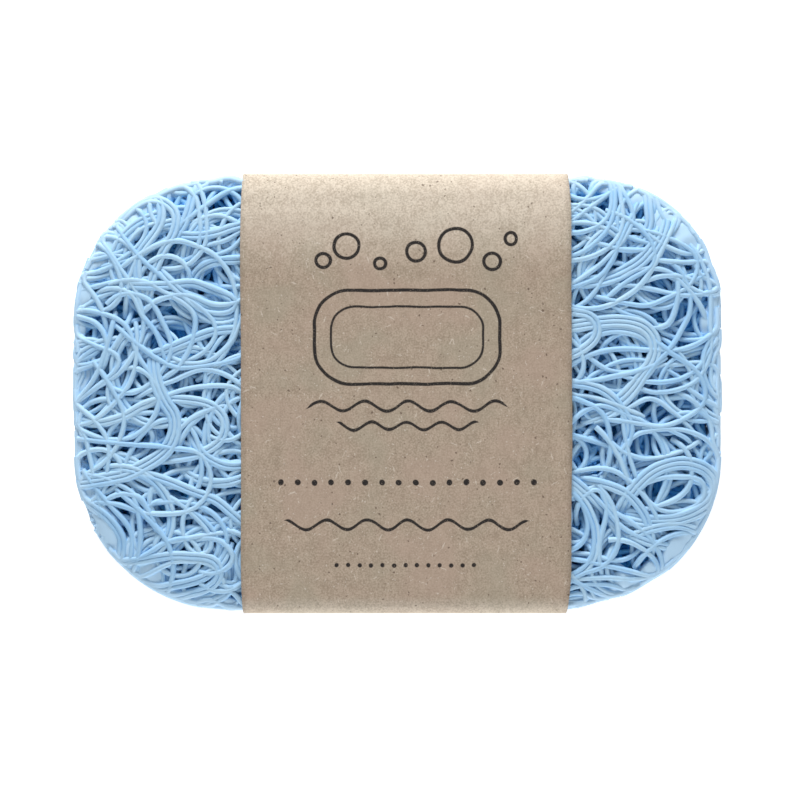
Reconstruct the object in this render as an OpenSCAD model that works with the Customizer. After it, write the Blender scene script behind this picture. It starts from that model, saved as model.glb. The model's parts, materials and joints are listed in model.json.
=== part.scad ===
// Soap saver: a die-cut pad of looped plastic strands, with a paper belly band round its middle.
// Millimetres. +X runs along the pad, +Y across it, and z = 0 is the surface that it lies on.

/* [Pad] */
// Length of the pad, along X
pad_length = 120; // [100:1:140]
// Width of the pad, across Y
pad_width = 80; // [70:1:90]
// Thickness of the strand mat, from the lowest strand to the highest
pad_thickness = 10; // [9.5:0.1:11]
// Radius of the pad's cut corners
corner_radius = 27; // [15:1:30]
// How far the bottom and top layers stop short of the cut edge, which eases the rim
rim_ease = 2.4; // [2:0.1:4]

/* [Strands] */
// Diameter of one extruded strand
strand_d = 0.85; // [0.7:0.05:0.95]
// Rows of looped strand across the pad's width, in every second layer
rows_across = 4; // [3:1:5]
// How far a strand advances with each loop
loop_pitch = 10.5; // [9.5:0.25:13]
// Ratio by which a strand's loops grow and shrink along its run
loop_vary_ratio = 0.14; // [0:0.02:0.18]
// How far a strand wanders to either side of its row
row_wander = 0.7; // [0:0.1:1]
// Free space between neighbouring strands of one layer
row_gap = 0.8; // [0.5:0.1:1.5]
// Gap where the loops of one layer bear on the layer below
bearing_gap = 0.1; // [0.05:0.05:0.3]
// Shortest cut length of strand that stays welded in the mat
shortest_cut = 11; // [6:1:14]

/* [Paper band] */
// Width of the paper band, along the pad
band_width = 61; // [40:1:80]
// How far the band sits from the middle of the pad, towards +X
band_offset = 1.6; // [-3:0.2:3]
// Thickness of the paper
paper_t = 0.3; // [0.2:0.05:0.5]
// Free space between the mat and the paper
band_gap = 0.35; // [0.3:0.05:0.6]
// Outer radius of the soft folds along the band's long edges
fold_radius = 3.5; // [2.5:0.25:4]
// Length of the paper's inner end, lapped under the outer one
lap_length = 16; // [12:1:30]

/* [Seam tape] */
// Width of the double-sided tape in the lap
tape_width = 10; // [6:1:11]
// Thickness of the tape
tape_t = 0.1; // [0.05:0.05:0.2]
// How far the tape stops short of the band's cut edges
tape_inset = 2; // [1:0.5:5]
// How far the tape lies from the end of the lapped paper
tape_setback = 1; // [0.5:0.5:3]

/* [Hidden] */
LAYERS = ["bottom", "lower", "upper", "top"];
BLUE = [0.66, 0.81, 0.94];
KRAFT = [0.66, 0.60, 0.54];
TAPE = [0.90, 0.88, 0.80];

// Tube drawing: sides of a strand, rings in each loop, and steps per loop when looking for the cut edge
SIDES = 4;
RINGS = 11;
LOOK_STEPS = 24;
CUT_HALVINGS = 7;

// How much sooner than a plain tilt a loop reaches its high and its low side
CLIMB_STEEPNESS = 2;
// Cycles per loop of the slow changes in radius, advance and sideways place, so that no two loops match
RADIUS_CYCLE = 0.23;
ADVANCE_CYCLE = 0.19;
WANDER_CYCLE = 0.15;
// How far the advance runs ahead or lags, as a ratio of the pitch
ADVANCE_RATIO = 0.07;
// The golden section spreads the strands' starting phases evenly
GOLDEN_RATIO = 0.618034;

layer_count = len(LAYERS);
layer_height = (pad_thickness - (layer_count - 1) * bearing_gap) / layer_count;
loop_rise = (layer_height - strand_d) / 2;
row_spacing = pad_width / rows_across;
largest_loop = (row_spacing - strand_d - row_gap) / 2 - row_wander;
loop_radius = largest_loop / (1 + loop_vary_ratio);

lap_lift = paper_t + tape_t;
pad_bottom = lap_lift + paper_t + band_gap;
pad_top = pad_bottom + pad_thickness;
band_height = pad_top + band_gap + paper_t;
band_length = pad_width + 2 * (band_gap + paper_t);

function is_outer(layer) = layer == 0 || layer == layer_count - 1;
function strand_name(layer, row) = str(LAYERS[layer], "_strand_", row + 1);

// Rows of one layer lie evenly about the pad's centre line. Every second layer is shifted by half a row
// and has one more, so that its outermost rows lie on the cut edges.
function row_count(layer) = rows_across + layer % 2;
function row_y(layer, row) = (row - (row_count(layer) - 1) / 2) * row_spacing;

// A number from 0 to 1 that differs from strand to strand
function spread(layer, row, salt) =
    let (n = (layer * 13 + row * 4 + salt * 7 + 9) * GOLDEN_RATIO)
    n - floor(n);

// Height of a loop about its layer's mid-plane: low where it trails, high where it leads
function climb(lead) = loop_rise * sin(90 * max(-1, min(1, CLIMB_STEEPNESS * lead)));

// A point of a strand's centre line, where t counts loops from the middle of the row
function strand_point(layer, row, t) =
    let (
        turn_way = (layer + row) % 2 == 0 ? 1 : -1,
        angle = 360 * (t + spread(layer, row, 0)),
        radius = loop_radius * (1 + loop_vary_ratio * sin(360 * (RADIUS_CYCLE * t + spread(layer, row, 1)))),
        lag = ADVANCE_RATIO * sin(360 * (ADVANCE_CYCLE * t + spread(layer, row, 2))),
        wander = row_wander * sin(360 * (WANDER_CYCLE * t + spread(layer, row, 3)))
    )
    [
        loop_pitch * (t + lag) + radius * cos(angle),
        row_y(layer, row) + wander + turn_way * radius * sin(angle),
        pad_bottom + layer * (layer_height + bearing_gap) + layer_height / 2 + climb(cos(angle))
    ];

// Distance from a point to the pad's cut outline, negative inside it
function outside_cut(p) =
    let (
        from_corner = [
            abs(p.x) - (pad_length / 2 - corner_radius),
            abs(p.y) - (pad_width / 2 - corner_radius)
        ]
    )
    norm([max(from_corner.x, 0), max(from_corner.y, 0)])
        + min(max(from_corner.x, from_corner.y), 0) - corner_radius;

function in_mat(layer, row, t) =
    outside_cut(strand_point(layer, row, t)) + strand_d / 2 + (is_outer(layer) ? rim_ease : 0) < 0;

// The place between a t inside the mat and a t outside it where the die cuts the strand
function cut_t(layer, row, t_in, t_out, halvings = CUT_HALVINGS) =
    let (middle = (t_in + t_out) / 2)
    halvings == 0 ? t_in :
        in_mat(layer, row, middle)
            ? cut_t(layer, row, middle, t_out, halvings - 1)
            : cut_t(layer, row, t_in, middle, halvings - 1);

// The lengths of a strand that are left in the mat after the cut, each as [first t, last t]
function lengths_in_mat(layer, row) =
    let (
        reach = (pad_length / 2 + 2 * largest_loop) / loop_pitch,
        step = 1 / LOOK_STEPS,
        last = ceil(2 * reach * LOOK_STEPS),
        kept = [for (i = [0 : last]) in_mat(layer, row, i * step - reach)],
        firsts = [for (i = [1 : last]) if (kept[i] && !kept[i - 1]) i],
        lasts = [for (i = [0 : last - 1]) if (kept[i] && !kept[i + 1]) i],
        shortest = shortest_cut / (2 * PI * loop_radius)
    )
    [
        for (k = [0 : len(firsts) - 1])
            let (
                first = cut_t(layer, row, firsts[k] * step - reach, (firsts[k] - 1) * step - reach),
                final = cut_t(layer, row, lasts[k] * step - reach, (lasts[k] + 1) * step - reach)
            )
            if (final - first >= shortest) [first, final]
    ];

function centre_line(layer, row, ends) =
    let (steps = max(2, round((ends[1] - ends[0]) * RINGS)))
    [for (i = [0 : steps]) strand_point(layer, row, ends[0] + (ends[1] - ends[0]) * i / steps)];

// One ring of a tube, square to the line at point i. Strands never stand upright, so Z sets its turn.
function ring(line, i) =
    let (
        along = line[min(i + 1, len(line) - 1)] - line[max(i - 1, 0)],
        across = cross(along, [0, 0, 1]) / norm(cross(along, [0, 0, 1])),
        up = cross(across, along) / norm(along)
    )
    [for (s = [0 : SIDES - 1]) line[i] + strand_d / 2 * (sin(360 * s / SIDES) * across + cos(360 * s / SIDES) * up)];

// How many rings the tubes before tube k have
function rings_before(lines, k) = k == 0 ? 0 : rings_before(lines, k - 1) + len(lines[k - 1]);

function tube_faces(first_ring, ring_total) =
    let (first = first_ring * SIDES, last = first + (ring_total - 1) * SIDES)
    concat(
        [[for (s = [0 : SIDES - 1]) first + s]],
        [
            for (i = [0 : ring_total - 2], s = [0 : SIDES - 1])
                let (a = first + i * SIDES, next = (s + 1) % SIDES)
                each [[a + s, a + SIDES + s, a + next], [a + next, a + SIDES + s, a + SIDES + next]]
        ],
        [[for (s = [SIDES - 1 : -1 : 0]) last + s]]
    );

// Separate tubes along several lines, as one polyhedron
module tubes(lines) {
    polyhedron(
        points = [for (line = lines) for (i = [0 : len(line) - 1]) each ring(line, i)],
        faces = [for (k = [0 : len(lines) - 1]) each tube_faces(rings_before(lines, k), len(lines[k]))]
    );
}

function cut_lines(layer, row) = [for (ends = lengths_in_mat(layer, row)) centre_line(layer, row, ends)];

// One strand as it was extruded, in the lengths that the die cut leaves of it
module strand(layer, row) {
    color(BLUE) tubes(cut_lines(layer, row));
}

// Where two stretches of a line, a-b and c-d, cross in plan, the height of one over the other
function side_of(a, b, p) = (b.x - a.x) * (p.y - a.y) - (b.y - a.y) * (p.x - a.x);
function crosses(a, b, c, d) =
    side_of(a, b, c) * side_of(a, b, d) < 0 && side_of(c, d, a) * side_of(c, d, b) < 0;
function crossing_height(a, b, c, d) =
    let (
        on_ab = side_of(c, d, a) / (side_of(c, d, a) - side_of(c, d, b)),
        on_cd = side_of(a, b, c) / (side_of(a, b, c) - side_of(a, b, d))
    )
    abs(a.z + on_ab * (b.z - a.z) - c.z - on_cd * (d.z - c.z));

// The free height at each place where a strand crosses itself
function self_gaps(line) =
    [
        for (i = [0 : len(line) - 4])
            for (j = [i + 2 : min(i + 3 * RINGS, len(line) - 2)])
                if (crosses(line[i], line[i + 1], line[j], line[j + 1]))
                    crossing_height(line[i], line[i + 1], line[j], line[j + 1]) - strand_d
    ];

// Upright rectangle with round corners, from the given height up to the band's top, about y = 0
module rounded_outline(inset, bottom) {
    radius = fold_radius - inset;
    half_length = band_length / 2 - inset;
    top = band_height - inset;
    translate([-half_length + radius, bottom + inset])
        square([2 * (half_length - radius), top - bottom - inset]);
    translate([-half_length, bottom + inset + radius])
        square([2 * half_length, top - bottom - inset - 2 * radius]);
    for (side = [-1, 1], z = [bottom + inset + radius, top - radius])
        translate([side * (half_length - radius), z])
            circle(radius, $fn = 64);
}

module paper_loop(bottom) {
    difference() {
        rounded_outline(0, bottom);
        rounded_outline(paper_t, bottom);
    }
}

// The paper strip in section: it starts with the inner end of the lap at +Y, goes over the pad
// and comes back underneath, flat on the table, to lie under its own start.
module band_section() {
    flat_end = band_length / 2 - fold_radius;
    intersection() {
        paper_loop(0);
        translate([-band_length, 0]) square([band_length, band_height]);
    }
    square([flat_end, paper_t]);
    difference() {
        intersection() {
            paper_loop(lap_lift);
            square([band_length, band_height]);
        }
        square([band_length / 2 - lap_length, lap_lift + paper_t]);
    }
}

module paper_band() {
    color(KRAFT)
        translate([band_offset, 0, 0])
            rotate([90, 0, 90])
                linear_extrude(band_width, center = true)
                    band_section();
}

// Double-sided tape between the two ends of the paper
module seam_tape() {
    flat_length = lap_length - fold_radius - tape_setback;
    low_x = band_offset - band_width / 2 + tape_inset;
    color(TAPE)
        translate([low_x, band_length / 2 - lap_length + tape_setback, paper_t])
            cube([band_width - 2 * tape_inset, min(tape_width, flat_length), tape_t]);
}

for (layer = [0 : layer_count - 1], row = [0 : row_count(layer) - 1])
    strand(layer, row);
paper_band();
seam_tape();

union() {
    gaps = [
        for (layer = [0 : layer_count - 1], row = [0 : row_count(layer) - 1])
            for (line = cut_lines(layer, row)) each self_gaps(line)
    ];
    echo(least_gap_of_a_strand_to_itself_mm = min(gaps));
}
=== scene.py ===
"""Looks of the soap saver: a pad of looped strands in a kraft paper band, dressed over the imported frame."""

import json
import math

import bmesh
import bpy
import numpy as np
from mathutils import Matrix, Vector

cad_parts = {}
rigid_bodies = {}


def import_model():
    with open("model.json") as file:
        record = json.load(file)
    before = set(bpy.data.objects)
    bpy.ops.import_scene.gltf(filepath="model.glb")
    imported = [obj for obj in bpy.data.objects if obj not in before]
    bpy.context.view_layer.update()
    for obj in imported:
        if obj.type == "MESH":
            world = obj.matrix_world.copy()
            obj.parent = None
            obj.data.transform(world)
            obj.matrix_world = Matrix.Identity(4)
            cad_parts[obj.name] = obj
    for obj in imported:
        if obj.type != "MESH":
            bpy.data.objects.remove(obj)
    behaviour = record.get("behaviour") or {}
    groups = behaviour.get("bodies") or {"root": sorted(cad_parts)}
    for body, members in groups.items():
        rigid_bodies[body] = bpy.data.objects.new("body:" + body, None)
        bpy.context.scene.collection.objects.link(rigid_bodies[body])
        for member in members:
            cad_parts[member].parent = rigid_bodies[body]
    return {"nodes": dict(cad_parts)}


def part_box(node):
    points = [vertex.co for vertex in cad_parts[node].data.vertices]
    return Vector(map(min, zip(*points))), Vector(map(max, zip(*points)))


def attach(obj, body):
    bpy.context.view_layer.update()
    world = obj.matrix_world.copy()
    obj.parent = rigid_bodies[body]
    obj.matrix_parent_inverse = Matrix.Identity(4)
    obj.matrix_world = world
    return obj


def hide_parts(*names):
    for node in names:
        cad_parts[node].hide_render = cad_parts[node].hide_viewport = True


MM = 0.001

for leftover in list(bpy.data.objects):
    bpy.data.objects.remove(leftover)
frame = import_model()
bpy.context.view_layer.update()

STRAND_NODES = sorted(n for n in frame["nodes"] if "_strand_" in n)
STRAND_BOXES = [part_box(n) for n in STRAND_NODES]
BAND_LOW, BAND_HIGH = [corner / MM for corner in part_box("paper_band")]

# The mat, in millimetres. Its thickness is that of the frame's strands.
MAT_LENGTH = 120.0
MAT_WIDTH = 80.0
MAT_BOTTOM = min(low.z for low, high in STRAND_BOXES) / MM
MAT_TOP = max(high.z for low, high in STRAND_BOXES) / MM
MAT_MIDDLE = (MAT_BOTTOM + MAT_TOP) / 2
MAT_HALF = (MAT_TOP - MAT_BOTTOM) / 2
CORNER_RADIUS = 27.0
# The cut edge's corners, which differ a little: their radii by the signs of x and y
CORNER_RADII = {(-1, 1): 26.0, (1, 1): 24.0, (-1, -1): 29.0, (1, -1): 29.0}
# Places where the cut edge draws in or, where it is negative, bulges: (x, y, how far, over what reach)
EDGE_DENTS = (
    (38.5, -39.5, 0.9, 5.0),
    (47.0, -35.5, 0.5, 4.0),
    (-45.0, 37.6, 0.4, 2.6),
    (-51.5, 33.0, 0.45, 2.4),
    (-57.0, 24.5, 0.35, 2.6),
    (-57.5, -22.0, 0.4, 3.5),
    (50.5, 34.0, 0.4, 2.6),
    (57.5, 24.5, 0.4, 3.0),
    (-31.4, 40.4, -0.85, 1.9),
    (34.6, 40.4, -0.7, 1.9),
)
# How far in from the cut edge the mat is pressed thinner, and its thickness at the edge, as a share
RIM_DEPTH = 12.0
RIM_SHARE = 0.34
# The shoulder along the far long edge, where the upper face falls off: from y, by what share, how roundly
SHOULDER_START = 24.0
SHOULDER_DROP = 0.22
SHOULDER_POWER = 1.6
# The share of its half thickness from which the mat is pressed flat, over what share, and the most pressed
PRESSED_FROM = 0.8
PRESSED_OVER = 0.2
PRESSED_MOST = 1.6

# The strands, in millimetres
STRAND_D = 1.06
# How much strands differ in thickness, over what length, and how much the cut edge swells them
STRAND_VARY = 0.1
THICKNESS_STRETCH = 47.0
RIM_SWELL = 0.2
# How far beyond the cut edge a strand may stray and still be pressed back along it, how far in from the
# edge it then lies, and the shortest lengths that are kept
RIM_STRAY = 3.0
RIM_INSET = 0.53
RIM_INSET_VARY = 0.55
FEWEST_POINTS = 3
SHORTEST_LENGTH = 3.0
# How far from the cut edge the strands look melted, and how far from the mat's faces they are painted a
# deeper blue as shade
RIM_MELT = 3.5
BURIED_DEPTH = 4.0
# The step between a tube's sections, and the corners of each section and of each of its two caps
RING_STEP = 0.9
RING_CORNERS = 6
MOST_POINTS_IN_A_PIECE = 36000

# Laying the strands, in millimetres: the grid of what has been laid, and the steps of a path over it
BED_CELL = 0.3
BED_MARGIN = 9.0
SAMPLE_STEP = 0.35
# How many points of a strand are laid at a time
CHUNK = 12
# How deep a strand sinks into what it rests on, and how sharply it bends over it
WELD_DEPTH = 0.22
DRAPE_RADIUS = 3.0
# How far the end of a strand dips under the others, and over what length
END_DIP = 5.5
END_REACH = 6.0
# Passes of looped rows, each shifted by a share of the rows' pitch, one way and the other by turns
PASSES = 5
ROWS_IN_A_PASS = 8
ROW_PITCH = 11.5
PASS_SHIFT = 0.25
LOOP_RADIUS = 6.6
LOOP_PITCH = 5.0
# How much a row's loops vary, how far its course strays along it and across it, and over what lengths
LOOP_VARY = 0.95
LOOP_STRETCH = 37.0
COURSE_STRAY = (4.0, 4.5)
COURSE_STRETCH = (170.0, 210.0)
# How many strands run side by side, row after row, and how far they stray from each other now and then
BUNDLES = (1, 1, 2, 1, 3, 1, 2)
BUNDLE_STRAY = 2.4
BUNDLE_HOLD = 0.35
BUNDLE_STRETCH = 61.0
# How far apart the strands of a fused ribbon lie, as a share of their diameter
FUSED_APART = 0.76
# Short arcs: the ranges of their length and of their bend to a millimetre, and how much it varies
ARC_LENGTHS = (20, 55)
ARC_BENDS = (0.06, 0.22)
ARC_VARY = 0.5
ARC_STRETCH = 30.0
# Arcs that fill the low places after each pass, which are low as against what lies round them
INFILL_BATCHES = 2
INFILL_ARCS = 50
INFILL_REACH = 1.5
INFILL_SURROUND = 6.0
INFILL_SPREAD = 6.0
# Arcs that close the holes down to the surface below, before the last pass
HOLE_BATCHES = 3
HOLE_ARCS = 110
HOLE_INSET = 1
HOLE_SPREAD = 3.0
# One in so many cells of the grid is looked at for a low place
CELL_SKIP = 5
# How the listed strands are carried on: from how many points and how many steps between two of them
# their bend is found, the most that they bend on, and the ranges of how far they go on
TAIL_POINTS = 12
TAIL_STEPS = 3
MOST_BEND = 0.2
ON_UNDER_BAND = (14, 24)
ON_PAST_EDGE = (5, 8)
# Reach of the averaging that levels the pile, and the share of the mat that an average pile then fills
FLATTEN_REACH = 5.0
PILE_SHARE = 0.95

# The rim film: points round the edge, and its section, in shares of its width and of the half thickness
RIM_STEPS = 480
RIM_SECTION = (
    (0.06, 0.0), (0.05, 0.5), (0.03, 0.8), (0.1, 0.96), (0.25, 1.0), (0.5, 1.0), (0.8, 0.98),
    (0.92, 0.93), (1.0, 0.75), (1.0, -0.75), (0.92, -0.93), (0.8, -0.98), (0.5, -1.0),
    (0.25, -1.0), (0.1, -0.96), (0.03, -0.8), (0.05, -0.5),
)
# What varies round the edge, in millimetres: (on a straight side, how much more at a corner, how much it
# varies, how many waves go round)
RIM_WIDTH = (2.0, 4.0, 1.6, (4, 11, 19, 31, 47))
RIM_SINK = (0.34, -0.3, 0.14, (9, 23, 61))
RIM_START = (0.5, -0.4, 0.12, (7, 17, 37, 71))
RIM_WIDTHS = (0.9, 6.2)
# How much deeper the film sinks at its inner side, and the lumps across it
RIM_FALL = 1.4
RIM_LUMPS = 0.22
RIM_LUMP_WAVES = (17, 41, 67, 103, 149)
RIM_LUMP_ROWS = 5
RIM_TONE = 0.6

# The paper band, in millimetres. Its section is the middle of the paper, from the lap's inner end round
# to its outer end, as (y, z, radius of the turn there).
BAND_MIDDLE = (BAND_LOW.x + BAND_HIGH.x) / 2
BAND_HALF = (BAND_HIGH.x - BAND_LOW.x) / 2
PAPER_T = 0.3
PAPER_STEP = 0.8
PAPER_CELLS = 44
BAND_SECTION = (
    (24.65, 0.55, 0),
    (40.5, 0.55, 2.8),
    (41.0, 7.6, 3.4),
    (37.6, 9.75, 7.0),
    (33.0, 10.85, 14.0),
    (25.0, 11.5, 50.0),
    (-40.3, 11.55, 3.0),
    (-40.3, 0.15, 2.6),
    (37.15, 0.15, 0),
)
# How far the paper's cut edges wander, and over what lengths
EDGE_WANDER = 0.12
EDGE_STRETCH = (90.0, 70.0)
# Where the paper's edges draw in at its folds: (y, z, at the low edge, at the high edge, reach)
BAND_PULLS = (
    (40.6, 9.0, 0.1, 0.25, 4.5),
    (40.8, 2.0, 0.1, 0.3, 4.5),
    (-40.2, 9.0, 0.3, 0.8, 4.5),
    (-40.2, 2.0, 0.3, 0.8, 4.5),
)

# The print on the band, in millimetres: the width of its lines, how soft their edges are, how far they
# shake, and the height above which the paper is printed. Its places are from the middle of the mat.
INK_STROKE = 0.62
INK_SOFT = 0.09
INK_SHAKE = 0.5
PRINT_HEIGHT = (9.0, 9.5)
# The bar of soap: (x, y, half its length, half its width, radius of its corners), and its two lines:
# (how far in, share of the stroke's width), with how much less the corners turn for each millimetre in
SOAP_BAR = (1.8, 10.5, 17.0, 8.6, 6.4)
BAR_LINES = ((0.0, 1.0), (3.0, 0.7))
BAR_TURN = 0.7
# Bubbles: (x, y, radius)
BUBBLES = (
    (-13.6, 24.6, 1.3), (-9.4, 27.2, 2.3), (-3.2, 24.0, 1.0), (3.4, 26.2, 1.7),
    (10.6, 27.4, 3.1), (17.4, 24.4, 1.5), (20.8, 28.6, 1.1),
)
# Wavy lines: (y, height of the wave, length of a wave, from x, to x), and how long their ends taper
WAVES = (
    (-2.2, 0.9, 8.0, -17.0, 20.6),
    (-5.8, 0.7, 6.4, -11.5, 15.2),
    (-24.0, 0.9, 7.4, -21.0, 24.5),
)
WAVE_TAPER = 1.4
# Rows of dots: (y, apart, radius, from x, to x)
DOT_ROWS = (
    (-16.2, 3.1, 0.55, -23.0, 26.9),
    (-31.4, 2.1, 0.4, -12.2, 15.2),
)

# Colours
# BLUE_PAINTED_SHADE is painted shade: the deeper blue of strands well within the mat
BLUE_PAINTED_SHADE = (0.08, 0.50, 0.97, 1)
BLUE_DEEP = (0.31, 0.565, 0.85, 1)
BLUE_LIGHT = (0.47, 0.69, 0.87, 1)
BLUE_MELTED = (0.50, 0.73, 0.95, 1)
PAPER_COLOURS = ((0.33, 0.258, 0.192, 1), (0.495, 0.40, 0.312, 1))
PAPER_EDGE_COLOURS = ((0.64, 0.58, 0.53, 1), (0.74, 0.68, 0.63, 1))
TAPE_COLOURS = ((0.76, 0.73, 0.62, 1), (0.84, 0.81, 0.71, 1))
# The paler paper along the near fold, and the painted highlight over the far bend
PAPER_PALE_AND_HIGHLIT = ((0.57, 0.50, 0.405, 1), (0.75, 0.67, 0.56, 1))
PAPER_BRIGHT = (0.74, 0.68, 0.60, 1)
PAPER_ROSY = (0.455, 0.338, 0.268, 1)
PAPER_GREY = (0.385, 0.345, 0.262, 1)
PAPER_FIBRE = (0.66, 0.58, 0.49, 1)
PAPER_SPECK = (0.10, 0.065, 0.045, 1)
INK = (0.022, 0.019, 0.018, 1)

# The strands' surface: how rough it is, about how many ripples it has to a metre, and its shine
STRAND_ROUGH = 0.57
RIM_ROUGH = 0.5
STRAND_RIPPLE = 1300.0
RIM_RIPPLE = 900.0
STRAND_SHINE = 0.32
# How much a strand's own tone and its skin's count in its colour, and the ranges that the tone, the depth's
# painted shade and the melting are spread over
TONE_WEIGHT = 0.3
SKIN_WEIGHT = 0.6
MELT_WEIGHT = 0.5
TONE_RANGE = (0.08, 0.84)
PAINTED_SHADE_RANGE = (0.3, 1.0)
MELT_RANGE = (0.35, 1.15)

# The paper's surface
PAPER_ROUGH = 0.86
PAPER_SHINE = 0.2
PAPER_RUN = 0.4
# Where the paper is painted paler at its folds, in millimetres: (from y, to y, how much). Along the near fold
# the paper is paler; over the far bend, from y 21 to 35, the paleness is a painted highlight of the light on
# the bend.
PALE_FOLDS_AND_PAINTED_HIGHLIGHT = ((-36.8, -39.3, 0.75), (21.0, 35.0, 0.85))
# Spots in the paper: (how many cells to a metre, size in a cell, share of the cells, weight in the colour)
PALE_FIBRES = (1900.0, 0.26, 0.08, 0.65)
BRIGHT_SPOTS = (2300.0, 0.33, 0.16, 0.5)
DARK_SPECKS = ((1500.0, 0.34, 0.07, 0.7), (2600.0, 0.34, 0.14, 0.35))
# The ways that the pale fibres lie, and how long they are as against their width
FIBRE_TURNS = (0.3, 1.2, 2.0, 2.7)
FIBRE_LENGTH = 6.0

# The floor, the light and the camera
FLOOR_HALF = 3
FLOOR_GAP = 0.05 * MM
FLOOR_GLOW = 0.58
# How far within the mat's outline the floor's glow fades out, in millimetres, so that the floor under the mat
# is painted dark as shade
FLOOR_PAINTED_SHADE = (-3.0, -0.5)
SKY_LIGHT = 0.41
# Lamps: (name, place in metres, size in metres, power in watts)
LAMPS = (
    ("key", (-0.1, 0.92, 0.35), 0.45, 11.6),
    ("fill", (0.12, -0.92, 0.2), 0.5, 5.9),
)
# The view: straight down, as far away as its perspective asks, and as large as the photograph shows the mat
VIEW_AIM = Vector((0.46, -1.05, 6.0)) * MM
VIEW_DISTANCE = 420 * MM
PHOTO_PIXELS = 800
PIXELS_TO_A_MM = 5.375
SENSOR_WIDTH = 36
CLIP_START = 0.01
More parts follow.
